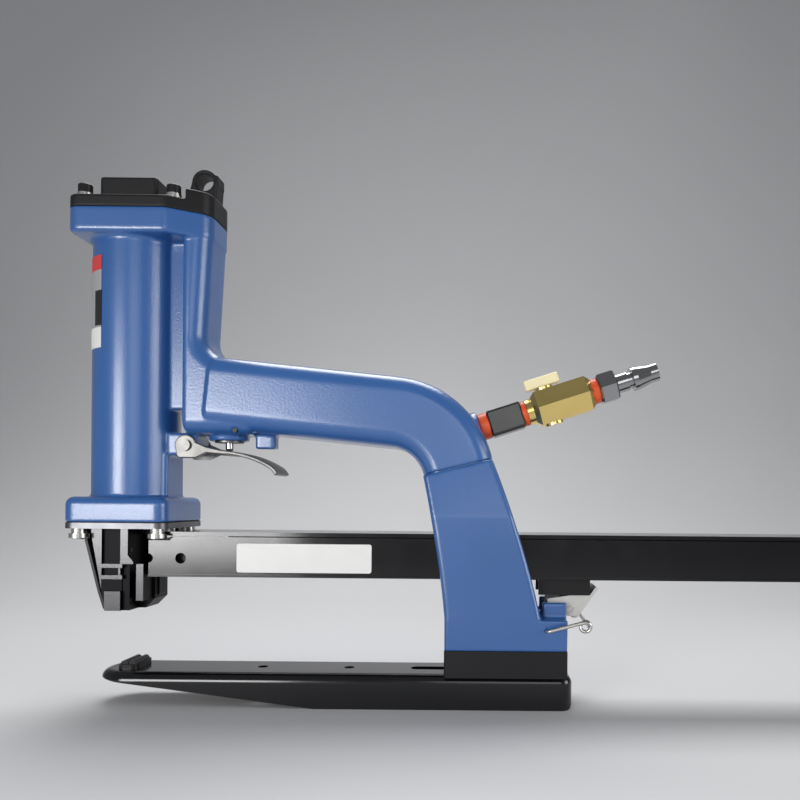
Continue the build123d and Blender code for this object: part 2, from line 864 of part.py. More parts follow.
# Leg casting
leg_half_top = grip_height / 2 + leg_top_margin
leg_front_top = leg_plane.from_local_coords((-leg_half_top, 0, 0))
leg_rear_top = leg_plane.from_local_coords((leg_half_top, 0, 0))
foot_top = leg_z + foot_height
leg_front_foot = (-foot_length / 2, foot_top)
leg_front_mid = ((leg_front_top.X + leg_front_foot[0]) / 2 + leg_front_bow / 2,
                 (leg_front_top.Z + leg_front_foot[1]) / 2)
leg_rear_base = (foot_length / 2 - leg_rear_foot, foot_top)
leg_rear_mid = ((leg_rear_top.X + leg_rear_base[0]) / 2 + leg_rear_bow,
                (leg_rear_top.Z + leg_rear_base[1]) / 2)
leg_peak = max(leg_front_top.Z, leg_rear_top.Z) + leg_edge_r
window_half = magazine_width / 2 + magazine_lip + window_margin
with BuildPart() as leg_casting:
    with BuildSketch(Plane.XZ):
        with BuildLine():
            Line(leg_front_foot, leg_rear_base)
            ThreePointArc(leg_rear_base, leg_rear_mid, (leg_rear_top.X, leg_rear_top.Z))
            Line((leg_rear_top.X, leg_rear_top.Z), (leg_front_top.X, leg_front_top.Z))
            ThreePointArc((leg_front_top.X, leg_front_top.Z), leg_front_mid, leg_front_foot)
        make_face()
    extrude(amount=foot_width / 2, both=True)
    with BuildSketch(Plane.YZ):
        with BuildLine():
            Polyline(
                (-foot_width / 2, foot_top),
                (foot_width / 2, foot_top),
                (foot_width / 2, leg_flare_z),
                (leg_top_width / 2, leg_peak),
                (-leg_top_width / 2, leg_peak),
                (-foot_width / 2, leg_flare_z),
                close=True,
            )
        make_face()
    extrude(amount=reach, both=True, mode=Mode.INTERSECT)
    upright = leg_casting.edges().filter_by(lambda edge: abs(edge.tangent_at(0.5).Z) > 0.5)
    fillet(upright, leg_edge_r)
    # Foot, drawn in toward the spacer block
    with BuildSketch(Plane.XY.offset(leg_z)):
        RectangleRounded(foot_length, spacer_width, foot_corner_r)
    with BuildSketch(Plane.XY.offset(foot_top)):
        RectangleRounded(foot_length, foot_width, foot_corner_r)
    loft()
    # Window for the magazine, and the pocket above it for the joint screws
    with BuildSketch(Plane.YZ):
        with Locations((0, magazine_z - window_margin)):
            Rectangle(2 * window_half, magazine_height + window_margin, align=(Align.CENTER, Align.MIN))
    extrude(amount=reach, both=True, mode=Mode.SUBTRACT)
    with BuildSketch(leg_plane.offset(-leg_flange_t)):
        Rectangle(leg_pocket, leg_pocket)
    extrude(amount=-leg_pocket_depth, mode=Mode.SUBTRACT)
    with BuildSketch(leg_plane):
        with GridLocations(leg_screw_pitch, leg_screw_pitch, 2, 2):
            Circle(leg_screw_r + screw_gap)
    extrude(amount=-leg_flange_t, mode=Mode.SUBTRACT)
    with BuildSketch(Plane.XY.offset(leg_z)):
        with GridLocations(arm_bolt_pitch, 1, 2, 1):
            Circle(arm_bolt_r + locate_gap)
    extrude(amount=arm_bolt_grip + tap_run, mode=Mode.SUBTRACT)
    with BuildSketch(Plane.XY.offset(magazine_top)):
        with Locations((rail_screw_leg_x, 0)):
            with GridLocations(1, 2 * rail_screw_y, 1, 2):
                Circle(rail_screw_r + locate_gap)
    extrude(amount=rail_screw_leg_bite + tap_run, mode=Mode.SUBTRACT)
    # Two-pronged lug that the latch lever swings between
    with BuildSketch(Plane.XY.offset(foot_top - bury)):
        with Locations((foot_length / 2 - lug_length / 2, 0)):
            with GridLocations(1, lug_inner + lug_t, 1, 2):
                RectangleRounded(lug_length, lug_t, lug_t / 4)
    extrude(amount=lug_height + bury)
    # Sockets for the wire bail in both sides of the foot
    with BuildSketch(Plane.XZ):
        with Locations((bail_x, bail_z)):
            Circle(bail_wire_r + run_gap)
    extrude(amount=foot_width, both=True, mode=Mode.SUBTRACT)

# Gasket between leg and grip
with BuildPart() as leg_gasket:
    with BuildSketch(leg_plane):
        RectangleRounded(grip_height - 2 * gasket_inset, leg_top_width - 2 * gasket_inset, grip_corner_r)
        Circle(core_hole_r, mode=Mode.SUBTRACT)
        with GridLocations(leg_screw_pitch, leg_screw_pitch, 2, 2):
            Circle(leg_screw_r + screw_gap, mode=Mode.SUBTRACT)
    extrude(amount=leg_joint_t)

leg_screw = cap_screw(
    leg_screw_r, leg_flange_t + leg_joint_t + leg_screw_grip, leg_screw_head_r, leg_screw_head_h
)
leg_screw_spots = [
    leg_plane.offset(-leg_flange_t).location
    * Location((a * leg_screw_pitch / 2, b * leg_screw_pitch / 2, 0), (180, 0, 0))
    for a, b in corner_signs
]
with BuildPart() as leg_screws:
    with Locations(*leg_screw_spots):
        add(leg_screw)

# Body casting: barrel, flanges, rear block, grip and bosses, then its hollows
base_flange = base_flange_form()
head_flange = head_flange_form()
head_root = head_root_form()
rear_block = rear_block_form()
grip_outer = grip_form(
    grip_width, grip_height, grip_corner_r, grip_shoulder, shoulder_r=grip_shoulder_r
)
grip_hollow = grip_form(
    grip_width - 2 * grip_wall,
    grip_height - 2 * grip_wall,
    grip_corner_r - grip_wall,
    grip_root + grip_wall,
    grip_end_wall,
)
passage_x = block_front + air_passage_depth / 2 + air_passage_wall
boss_drop = seal_one_t / 2
with BuildPart() as body_casting:
    with BuildSketch(head.offset(base_z)):
        Circle(barrel_r)
    extrude(amount=body_height)
    add(base_flange)
    add(head_flange)
    add(head_root)
    add(rear_block)
    add(grip_outer)
    # Web between barrel and block
    with BuildSketch(head.offset(web_z)):
        with Locations((block_front / 2 + bury, 0)):
            Rectangle(block_front + 2 * bury, web_width)
    extrude(amount=seam_z - head_flange_t / 2 - web_z)
    # Flat pad on the barrel between base flange and trigger lug
    pad_z = base_z + base_flange_t - base_edge_r
    pad_height = trigger_z - trigger_lug_r - pad_z
    with BuildSketch(head.offset(pad_z)):
        with Locations((pad_x - barrel_wall, 0)):
            Rectangle(2 * barrel_wall, pad_width)
    extrude(amount=pad_height)
    with BuildSketch(head.offset(base_z + base_flange_t)):
        with Locations((pad_x, 0)):
            Rectangle(barrel_r, pad_width, align=(Align.MIN, Align.CENTER))
    extrude(amount=pad_height - base_edge_r, mode=Mode.SUBTRACT)
    # Trigger lug, valve boss and trigger stop under the grip
    with BuildSketch(head_side):
        with Locations((trigger_x, trigger_z)):
            Circle(trigger_lug_r)
        with BuildLine():
            Polyline(
                (barrel_r - barrel_wall / 2, trigger_z - trigger_lug_r),
                (trigger_x, trigger_z - trigger_lug_r),
                (trigger_x + trigger_lug_r, trigger_z),
                (trigger_x + trigger_lug_r, block_z + bury),
                (barrel_r - barrel_wall / 2, block_z + bury),
                close=True,
            )
        make_face()
    extrude(amount=trigger_lug_width / 2, both=True)
    with BuildSketch(head.offset(valve_body_z + valve_lip)):
        with Locations((stem_x, 0)):
            Circle(valve_boss_r)
    extrude(amount=valve_body_height / 2)
    with BuildSketch(head.offset(stop_z)):
        with Locations((stop_x, 0)):
            RectangleRounded(stop_length, stop_width, stop_corner_r)
    extrude(amount=block_z - stop_z + stop_root)
    # Inlet boss on the bend
    with BuildSketch(inlet.offset(-boss_drop)):
        Circle(inlet_boss_r)
    extrude(amount=-inlet_boss_r)
    # Hollows: cylinder bore, grip chamber, air passage to the head
    with BuildSketch(head.offset(base_z)):
        Circle(bore_r)
    extrude(amount=body_height, mode=Mode.SUBTRACT)
    add(grip_hollow, mode=Mode.SUBTRACT)
    with BuildSketch(head.offset(grip_z - grip_height / 4)):
        with Locations((passage_x, 0)):
            Rectangle(air_passage_depth, air_passage_width)
    extrude(amount=seam_z - grip_z + grip_height / 4, mode=Mode.SUBTRACT)
    with BuildSketch(head.offset(grip_z - grip_height / 4)):
        with Locations((grip_root + grip_wall, 0)):
            Rectangle(2 * grip_wall, air_passage_width)
    extrude(amount=grip_height / 3, mode=Mode.SUBTRACT)
    with BuildSketch(head.offset(air_port_z)):
        with Locations((block_front / 2 + air_passage_depth / 2 + 2 * bury, 0)):
            Rectangle(block_front / 2 + air_passage_depth, air_port_width)
    extrude(amount=air_port_height, mode=Mode.SUBTRACT)
    # Holes: inlet, core hole, valve, pins and tapped holes
    with BuildSketch(inlet.offset(-boss_drop)):
        Circle(seal_one_r + slide_gap)
    extrude(amount=2 * seal_one_t, mode=Mode.SUBTRACT)
    with BuildSketch(inlet):
        Circle(pipe_r + locate_gap)
    extrude(amount=-4 * pipe_r, mode=Mode.SUBTRACT)
    with BuildSketch(joint_plane):
        Circle(core_hole_r)
    extrude(amount=grip_end_wall + grip_wall, mode=Mode.SUBTRACT)
    with BuildSketch(joint_plane):
        with GridLocations(leg_screw_pitch, leg_screw_pitch, 2, 2):
            Circle(leg_screw_r + locate_gap)
    extrude(amount=leg_screw_grip + tap_run / 2, mode=Mode.SUBTRACT)
    with BuildSketch(head.offset(valve_body_z)):
        with Locations((stem_x, 0)):
            Circle(valve_body_r + locate_gap)
    extrude(amount=valve_body_height, mode=Mode.SUBTRACT)
    with BuildSketch(head_side):
        with Locations((trigger_x, trigger_z)):
            Circle(trigger_pin_r + locate_gap)
        with Locations((stem_x + valve_pin_offset, block_z + valve_pin_r + valve_pin_wall)):
            Circle(valve_pin_r + locate_gap)
    extrude(amount=grip_width, both=True, mode=Mode.SUBTRACT)
    with BuildSketch(head.offset(seam_z)):
        for screw_x in (-cap_screw_front, cap_screw_rear):
            with Locations((screw_x, 0)):
                with GridLocations(1, 2 * cap_screw_y, 1, 2):
                    Circle(cap_screw_r + locate_gap)
    extrude(amount=cap_hole_floor - head_flange_t, mode=Mode.SUBTRACT)
    with BuildSketch(head.offset(base_z)):
        with GridLocations(2 * base_screw_x, 2 * base_screw_y, 2, 2):
            Circle(base_screw_r + locate_gap)
    extrude(amount=base_screw_depth + tap_run, mode=Mode.SUBTRACT)

# Bare label round the barrel front
with BuildPart() as barrel_label:
    with BuildSketch(head.offset(barrel_label_z)):
        Circle(barrel_r + locate_gap + label_t)
        Circle(barrel_r + locate_gap, mode=Mode.SUBTRACT)
        edge_x = barrel_r * cos(radians(barrel_label_half_angle))
        with Locations((-edge_x, 0)):
            Rectangle(3 * barrel_r, 3 * barrel_r, align=(Align.MIN, Align.CENTER), mode=Mode.SUBTRACT)
    extrude(amount=barrel_label_height)

# Cylinder sleeve with a collar at each end, each grooved for a seal ring
collar_r = bore_r - locate_gap
seal_mean_r = collar_r - seal_wire_r - locate_gap
groove_floor_r = seal_mean_r - seal_wire_r - locate_gap
seal_low_z = sleeve_z + sleeve_collar / 2
seal_high_z = sleeve_top - sleeve_collar / 2
groove_half = seal_wire_r + 2 * locate_gap
with BuildPart() as cylinder_sleeve:
    with BuildSketch(head.offset(sleeve_z)):
        Circle(sleeve_r)
        Circle(sleeve_bore_r, mode=Mode.SUBTRACT)
    extrude(amount=sleeve_length)
    for collar_z in (sleeve_z, sleeve_top - sleeve_collar):
        with BuildSketch(head.offset(collar_z)):
            Circle(collar_r)
            Circle(sleeve_bore_r, mode=Mode.SUBTRACT)
        extrude(amount=sleeve_collar)
    for seal_z in (seal_low_z, seal_high_z):
        with BuildSketch(head.offset(seal_z - groove_half)):
            Circle(bore_r + bury)
            Circle(groove_floor_r, mode=Mode.SUBTRACT)
        extrude(amount=2 * groove_half, mode=Mode.SUBTRACT)
    # Return ports near the bottom
    port_z = sleeve_z + sleeve_collar + 2 * seal_wire_r + port_margin
    with Locations((head_x, 0, port_z)):
        for port_turn in range(port_count):
            Cylinder(port_r, 3 * sleeve_r, rotation=(90, 0, 180 / port_count * port_turn), mode=Mode.SUBTRACT)

with BuildPart() as sleeve_seals:
    for seal_z in (seal_low_z, seal_high_z):
        with Locations((head_x, 0, seal_z)):
            Torus(seal_mean_r, seal_wire_r)

# Rubber bumper at the foot of the cylinder
with BuildPart() as bumper:
    with BuildSketch(head.offset(sleeve_z)):
        Circle(sleeve_bore_r - locate_gap)
        Rectangle(slot_width, slot_length, mode=Mode.SUBTRACT)
    extrude(amount=bumper_height)
    chamfer(bumper.faces().sort_by(Axis.Z)[-1].outer_wire().edges(), bumper_chamfer)

# Drive piston with a slot for the blade, and the pin that holds the blade
piston_r = sleeve_bore_r - run_gap
piston_seal_z = piston_z + piston_height * piston_seal_share
piston_seal_mean_r = piston_r - seal_wire_r
blade_pin_z = piston_z + piston_height / 2 - blade_pin_drop / 2
with BuildPart() as drive_piston:
    with BuildSketch(head.offset(piston_z)):
        Circle(piston_r)
    extrude(amount=piston_height)
    chamfer(drive_piston.edges().filter_by(GeomType.CIRCLE), piston_chamfer)
    with BuildSketch(head.offset(piston_seal_z - groove_half)):
        Circle(piston_r + bury)
        Circle(piston_seal_mean_r - seal_wire_r - locate_gap, mode=Mode.SUBTRACT)
    extrude(amount=2 * groove_half, mode=Mode.SUBTRACT)
    with BuildSketch(head.offset(piston_z)):
        Rectangle(blade_t + 2 * locate_gap, 3 * piston_r)
    extrude(amount=blade_socket - blade_pin_r + locate_gap, mode=Mode.SUBTRACT)
    with Locations((head_x, 0, blade_pin_z)):
        Cylinder(blade_pin_r + locate_gap, 3 * piston_r, rotation=(0, 90, 0), mode=Mode.SUBTRACT)

with BuildPart() as piston_seal:
    with Locations((head_x, 0, piston_seal_z)):
        Torus(piston_seal_mean_r, seal_wire_r)

with BuildPart() as driver_blade:
    with BuildSketch(head.offset(blade_tip)):
        Rectangle(blade_t, blade_width)
    extrude(amount=piston_z + blade_socket - blade_pin_r - blade_tip)
    with Locations((head_x, 0, blade_pin_z)):
        Cylinder(blade_pin_r + locate_gap, 3 * blade_t, rotation=(0, 90, 0), mode=Mode.SUBTRACT)

with BuildPart() as blade_pin:
    with Locations((head_x, 0, blade_pin_z)):
        Cylinder(blade_pin_r, blade_pin_share * piston_r, rotation=(0, 90, 0))

# Head valve: a sliding cup on the sleeve's top, guided by its neck in the cap
skirt_r = bore_r - run_gap
valve_z = sleeve_top + locate_gap
valve_shoulder = valve_z + valve_skirt
neck_top = valve_shoulder + valve_neck_length
head_seal_z = valve_shoulder - 4 * seal_wire_r
head_seal_mean_r = skirt_r - seal_wire_r
with BuildPart() as head_valve:
    with BuildSketch(head.offset(valve_z)):
        Circle(skirt_r)
    extrude(amount=valve_skirt)
    with BuildSketch(head.offset(valve_z)):
        Circle(skirt_r - 2 * valve_skirt_wall)
    extrude(amount=valve_skirt - valve_skirt_wall, mode=Mode.SUBTRACT)
    with BuildSketch(head.offset(valve_shoulder)):
        Circle(valve_neck_r)
    extrude(amount=valve_neck_length)
    with BuildSketch(head.offset(head_seal_z - groove_half)):
        Circle(bore_r + bury)
        Circle(head_seal_mean_r - seal_wire_r - locate_gap, mode=Mode.SUBTRACT)
    extrude(amount=2 * groove_half, mode=Mode.SUBTRACT)

with BuildPart() as head_valve_seal:
    with Locations((head_x, 0, head_seal_z)):
        Torus(head_seal_mean_r, seal_wire_r)

valve_spring_length = cap_z + cap_chamber_depth - valve_shoulder - 2 * locate_gap
head_spring = coil_spring(valve_spring_r, valve_spring_wire, valve_spring_length, valve_spring_turns)
with BuildPart() as head_valve_spring:
    with Locations((head_x, 0, valve_shoulder + locate_gap)):
        add(head_spring)

# Gasket and cap on the top flange
cap_screw_points = [
    (screw_x, side * cap_screw_y)
    for screw_x in (-cap_screw_front, cap_screw_rear)
    for side in (1, -1)
]
with BuildPart() as cap_gasket:
    with BuildSketch(head.offset(seam_z)):
        add(head_outline())
        Circle(bore_r, mode=Mode.SUBTRACT)
        with Locations((passage_x, 0)):
            Rectangle(air_passage_depth, air_passage_width, mode=Mode.SUBTRACT)
        with Locations(*cap_screw_points):
            Circle(cap_screw_r + screw_gap, mode=Mode.SUBTRACT)
    extrude(amount=gasket_t)

neck_room = neck_top + valve_lift + neck_spare - cap_z
eye_z = cap_top + eye_height
cap_boss_x = (cap_boss_rear - cap_boss_front) / 2


def cap_plate_form():
    """Cap plate with its rounded upper edge."""
    with BuildPart() as form:
        with BuildSketch(head.offset(cap_z)):
            add(head_outline())
        extrude(amount=cap_plate_t)
        fillet(form.faces().sort_by(Axis.Z)[-1].edges(), cap_edge_r / 2)
    return form.part


def cap_boss_form():
    """Centre boss of the cap, a rounded block over the head valve."""
    with BuildPart() as form:
        with BuildSketch(head.offset(cap_top - cap_edge_r)):
            with Locations((cap_boss_x, 0)):
                RectangleRounded(cap_boss_front + cap_boss_rear, cap_boss_width, cap_boss_corner_r)
        extrude(amount=cap_boss_height + cap_edge_r)
        fillet(form.faces().sort_by(Axis.Z)[-1].edges(), cap_boss_edge_r)
    return form.part


def cap_rise_form():
    """Raised rear end of the cap, as wide as the cap itself."""
    with BuildPart() as form:
        with BuildSketch(head.offset(cap_z)):
            add(head_outline())
            with Locations((cap_rise_x, 0)):
                Rectangle(head_rear, head_width, align=(Align.MIN, Align.CENTER), mode=Mode.INTERSECT)
        extrude(amount=cap_plate_t + cap_rise)
        fillet(form.faces().sort_by(Axis.Z)[-1].edges(), cap_edge_r / 2)
    return form.part


def hanger_form():
    """Rear hump of the cap, a rounded lug round the hanger eye."""
    outer_r = eye_r + eye_wall
    with BuildPart() as form:
        with BuildSketch(head_side) as profile:
            with BuildLine():
                Polyline(
                    (head_rear - cap_edge_r / 2, cap_top - cap_edge_r),
                    (eye_x + outer_r, eye_z + eye_shoulder),
                    (eye_x, eye_z + outer_r),
                    (eye_x - outer_r, eye_z),
                    (block_front - 2 * eye_wall, cap_top - cap_edge_r),
                    close=True,
                )
            make_face()
            with Locations((eye_x, eye_z)):
                Circle(outer_r)
        extrude(amount=eye_width / 2, both=True)
        fillet(form.faces().filter_by(Axis.Y).edges(), cap_edge_r / 2)
    return form.part


cap_plate = cap_plate_form()
cap_boss = cap_boss_form()
cap_rear = cap_rise_form()
hanger = hanger_form()
with BuildPart() as top_cap:
    add(cap_plate)
    add(cap_boss)
    add(cap_rear)
    add(hanger)
    with BuildSketch(head.offset(cap_z)):
        Circle(cap_chamber_r)
    extrude(amount=cap_chamber_depth, mode=Mode.SUBTRACT)
    with BuildSketch(head.offset(cap_z)):
        Circle(valve_neck_r + run_gap)
    extrude(amount=neck_room, mode=Mode.SUBTRACT)
    with BuildSketch(head.offset(cap_z)):
        with Locations((passage_x / 2, 0)):
            Rectangle(passage_x + air_passage_depth, air_port_width)
    extrude(amount=cap_chamber_depth, mode=Mode.SUBTRACT)
    with BuildSketch(head_side):
        with Locations((eye_x, eye_z)):
            Circle(eye_r)
    extrude(amount=head_width, both=True, mode=Mode.SUBTRACT)
    with BuildSketch(head.offset(cap_z)):
        with Locations(*cap_screw_points):
            Circle(cap_screw_r + screw_gap)
    extrude(amount=cap_plate_t, mode=Mode.SUBTRACT)

cap_washer = ring(cap_screw_r + screw_gap, cap_washer_r, cap_washer_t)
with BuildPart() as cap_washers:
    with Locations((head_x, 0, cap_top)):
        with Locations(*[(x, y, 0) for x, y in cap_screw_points]):
            add(cap_washer)

spring_washer = ring(cap_screw_r + screw_gap, cap_spring_washer_r, cap_spring_washer_t)
with BuildPart() as cap_spring_washers:
    with Locations((head_x, 0, cap_top + cap_washer_t)):
        with Locations(*[(x, y, 0) for x, y in cap_screw_points]):
            add(spring_washer)

cap_stack = cap_washer_t + cap_spring_washer_t
cap_fastener = cap_screw(
    cap_screw_r,
    cap_stack + cap_plate_t + gasket_t + head_flange_t - cap_hole_floor - tap_run,
    cap_screw_head_r,
    cap_screw_head_h,
)
with BuildPart() as cap_screws:
    with Locations((head_x, 0, cap_top + cap_stack)):
        with Locations(*[(x, y, 0) for x, y in cap_screw_points]):
            add(cap_fastener)

# Base plate, its gasket and the four base screws
with BuildPart() as base_gasket:
    with BuildSketch(head.offset(base_z - gasket_t)):
        RectangleRounded(base_width - 2 * gasket_inset, base_width - 2 * gasket_inset, base_corner_r)
        Circle(bore_r + gasket_inset, mode=Mode.SUBTRACT)
        with GridLocations(2 * base_screw_x, 2 * base_screw_y, 2, 2):
            Circle(base_screw_r + screw_gap, mode=Mode.SUBTRACT)
    extrude(amount=gasket_t)

plate_screw_cone = plate_screw_head_r - plate_screw_r
plate_screw_points = [
    (screw_x, side * screw_y)
    for screw_x, screw_y in ((-plate_screw_x, nose_screw_y), (plate_screw_rear_x, plate_screw_rear_y))
    for side in (1, -1)
]
with BuildPart() as base_plate:
    with BuildSketch(head.offset(plate_z)):
        RectangleRounded(base_width, base_width, base_corner_r)
        Rectangle(slot_width, slot_length, mode=Mode.SUBTRACT)
        with GridLocations(2 * base_screw_x, 2 * base_screw_y, 2, 2):
            Circle(base_screw_r + screw_gap, mode=Mode.SUBTRACT)
        with Locations(*plate_screw_points):
            Circle(plate_screw_r + locate_gap, mode=Mode.SUBTRACT)
        with Locations((rail_screw_head_x, 0)):
            with GridLocations(1, 2 * rail_screw_y, 1, 2):
                Circle(rail_screw_r + locate_gap, mode=Mode.SUBTRACT)
    extrude(amount=plate_t)
    # Two pads that carry the magazine's top rail
    with BuildSketch(head.offset(magazine_top)):
        with Locations((rail_screw_head_x, 0)):
            with GridLocations(1, 2 * rail_screw_y, 1, 2):
                Circle(rail_pad_r)
                Circle(rail_screw_r + locate_gap, mode=Mode.SUBTRACT)
    extrude(amount=rail_gap)
    with Locations((head_x, 0, plate_z + plate_t)):
        with Locations(*plate_screw_points):
            Cone(
                plate_screw_r + locate_gap,
                plate_screw_head_r + locate_gap,
                plate_screw_cone,
                align=(Align.CENTER, Align.CENTER, Align.MAX),
                mode=Mode.SUBTRACT,
            )

with BuildPart() as base_screws:
    with BuildSketch(head.offset(plate_z - base_collar_h)):
        with GridLocations(2 * base_screw_x, 2 * base_screw_y, 2, 2):
            Circle(base_collar_r)
    extrude(amount=base_collar_h)
    with BuildSketch(head.offset(plate_z - base_collar_h - base_head_h)):
        with GridLocations(2 * base_screw_x, 2 * base_screw_y, 2, 2):
            Circle(base_head_r)
    extrude(amount=base_head_h)
    chamfer(base_screws.faces().filter_by(Axis.Z).group_by(Axis.Z)[0].edges(), base_head_chamfer)
    with BuildSketch(head.offset(plate_z)):
        with GridLocations(2 * base_screw_x, 2 * base_screw_y, 2, 2):
            Circle(base_screw_r)
    extrude(amount=plate_t + gasket_t + base_screw_depth)
    with BuildSketch(head.offset(plate_z - base_collar_h - base_head_h)):
        with GridLocations(2 * base_screw_x, 2 * base_screw_y, 2, 2):
            RegularPolygon(base_screw_r, hex_sides)
    extrude(amount=base_head_h * socket_depth_share, mode=Mode.SUBTRACT)

# Trigger: two cheeks on the pin and a curved finger plate
cheek_inner = trigger_lug_width / 2 + slide_gap
cheek_outer = cheek_inner + trigger_cheek_t
plate_start = (trigger_x + trigger_plate_start, trigger_z - trigger_start_drop)
plate_mid = (trigger_x + trigger_plate_mid, trigger_z - trigger_mid_drop)
plate_turn = (trigger_x + trigger_plate_turn, trigger_z - trigger_turn_drop)
plate_tip = (trigger_x + trigger_plate_tip, trigger_z - trigger_tip_drop)
heel_front = (trigger_x - trigger_heel_front, trigger_z - trigger_heel_drop)
heel_rear = (trigger_x + trigger_heel_rear, trigger_z - trigger_heel_drop)
cheek_end_x = trigger_x + trigger_cheek_end
with BuildPart() as trigger:
    with BuildSketch(head_side) as cheek:
        with BuildLine():
            Polyline(
                (trigger_x - trigger_eye_r, trigger_z),
                heel_front,
                heel_rear,
                (trigger_x + trigger_notch_x, trigger_z - trigger_notch_drop),
                (cheek_end_x, trigger_z - trigger_mid_drop - trigger_plate_t / 2),
                (cheek_end_x, trigger_z - trigger_cheek_top),
                (trigger_x + trigger_notch_x, trigger_z - trigger_notch_top),
                (trigger_x + trigger_eye_r / 2, trigger_z + trigger_eye_r / 2),
                close=True,
            )
        make_face()
        fillet(cheek.vertices().sort_by_distance(heel_front)[0], trigger_heel_r)
        fillet(cheek.vertices().sort_by_distance(heel_rear)[0], trigger_heel_r)
        with Locations((trigger_x, trigger_z)):
            Circle(trigger_eye_r)
    extrude(amount=cheek_outer, both=True)
    with BuildSketch(head_side):
        with Locations((trigger_x, trigger_z)):
            Rectangle(4 * trigger_eye_r, 6 * trigger_eye_r)
        with BuildLine():
            Polyline(
                (trigger_x, trigger_z + 3 * trigger_eye_r),
                (plate_mid[0], trigger_z + 3 * trigger_eye_r),
                (plate_mid[0], plate_mid[1] - 6 * trigger_plate_t),
                (trigger_x, trigger_z - 3 * trigger_eye_r),
                close=True,
            )
        make_face()
    extrude(amount=cheek_inner, both=True, mode=Mode.SUBTRACT)
    with BuildSketch(head_side) as finger:
        with BuildLine():
            bow = Line(plate_start, plate_mid)
            bow_two = TangentArc(plate_mid, plate_turn, tangent=bow % 1)
            TangentArc(plate_turn, plate_tip, tangent=bow_two % 1)
        trace(line_width=trigger_plate_t)
    extrude(amount=cheek_outer, both=True)
    fillet(trigger.faces().filter_by(Axis.Y).sort_by(Axis.Y)[0].edges(), trigger_edge_r)
    fillet(trigger.faces().filter_by(Axis.Y).sort_by(Axis.Y)[-1].edges(), trigger_edge_r)
    with Locations((head_x + trigger_x, 0, trigger_z)):
        Cylinder(trigger_pin_r + run_gap, 4 * cheek_outer, rotation=(90, 0, 0), mode=Mode.SUBTRACT)

trigger_pin_half = cheek_outer + slide_gap
with BuildPart() as trigger_pin:
    with Locations((head_x + trigger_x, 0, trigger_z)):
        Cylinder(trigger_pin_r, 2 * trigger_pin_half, rotation=(90, 0, 0))
    with BuildSketch(head_side):
        with Locations((trigger_x, trigger_z)):
            Circle(trigger_pin_head_r)
    extrude(amount=trigger_pin_half + trigger_pin_head_t, both=True)
    with BuildSketch(head_side):
        with Locations((trigger_x, trigger_z)):
            Circle(trigger_pin_head_r + bury)
            Circle(trigger_pin_r, mode=Mode.SUBTRACT)
    extrude(amount=trigger_pin_half, both=True, mode=Mode.SUBTRACT)

# Trigger valve: body, stem, spring, seals and retaining pin
valve_top = valve_body_z + valve_body_height
stem_floor = valve_body_z + valve_guide
stem_collar_z = stem_floor + 2 * seal_wire_r
valve_seal_mean_r = valve_body_r - seal_wire_r - locate_gap
valve_seal_levels = [valve_body_z + valve_seal_rise, valve_top - valve_seal_drop]
valve_pin_place = (stem_x + valve_pin_offset, block_z + valve_pin_r + valve_pin_wall)
with BuildPart() as trigger_valve_body:
    with BuildSketch(head.offset(valve_body_z)):
        with Locations((stem_x, 0)):
            Circle(valve_body_r)
    extrude(amount=valve_body_height)
    with BuildSketch(head.offset(stem_floor)):
        with Locations((stem_x, 0)):
            Circle(valve_chamber_r)
    extrude(amount=valve_body_height - valve_guide - valve_roof_t, mode=Mode.SUBTRACT)
    with BuildSketch(head.offset(valve_body_z)):
        with Locations((stem_x, 0)):
            Circle(stem_r + run_gap)
    extrude(amount=valve_body_height, mode=Mode.SUBTRACT)
    for seal_z in valve_seal_levels:
        with BuildSketch(head.offset(seal_z - groove_half)):
            with Locations((stem_x, 0)):
                Circle(valve_body_r + bury)
                Circle(valve_seal_mean_r - seal_wire_r - locate_gap, mode=Mode.SUBTRACT)
        extrude(amount=2 * groove_half, mode=Mode.SUBTRACT)
    with BuildSketch(head_side):
        with Locations(valve_pin_place):
            Circle(valve_pin_r + locate_gap)
    extrude(amount=grip_width, both=True, mode=Mode.SUBTRACT)

with BuildPart() as trigger_valve_seals:
    for seal_z in valve_seal_levels:
        with Locations((head_x + stem_x, 0, seal_z)):
            Torus(valve_seal_mean_r, seal_wire_r)

with BuildPart() as trigger_valve_stem:
    with BuildSketch(head.offset(valve_body_z - stem_drop)):
        with Locations((stem_x, 0)):
            Circle(stem_r)
    extrude(amount=valve_guide + stem_drop + stem_collar_t + 2 * seal_wire_r)
    fillet(trigger_valve_stem.edges().sort_by(Axis.Z)[0], stem_r * stem_round_share)
    with BuildSketch(head.offset(stem_collar_z)):
        with Locations((stem_x, 0)):
            Circle(stem_collar_r)
    extrude(amount=stem_collar_t)

stem_spring_z = stem_collar_z + stem_collar_t + locate_gap
stem_spring_length = valve_top - valve_roof_t - stem_spring_z - locate_gap
stem_spring = coil_spring(
    stem_collar_r - stem_spring_wire, stem_spring_wire, stem_spring_length, stem_spring_turns
)
with BuildPart() as trigger_valve_spring:
    with Locations((head_x + stem_x, 0, stem_spring_z)):
        add(stem_spring)

with BuildPart() as valve_retaining_pin:
    with BuildSketch(head_side):
        with Locations(valve_pin_place):
            Circle(valve_pin_r)
    extrude(amount=valve_pin_length / 2, both=True)

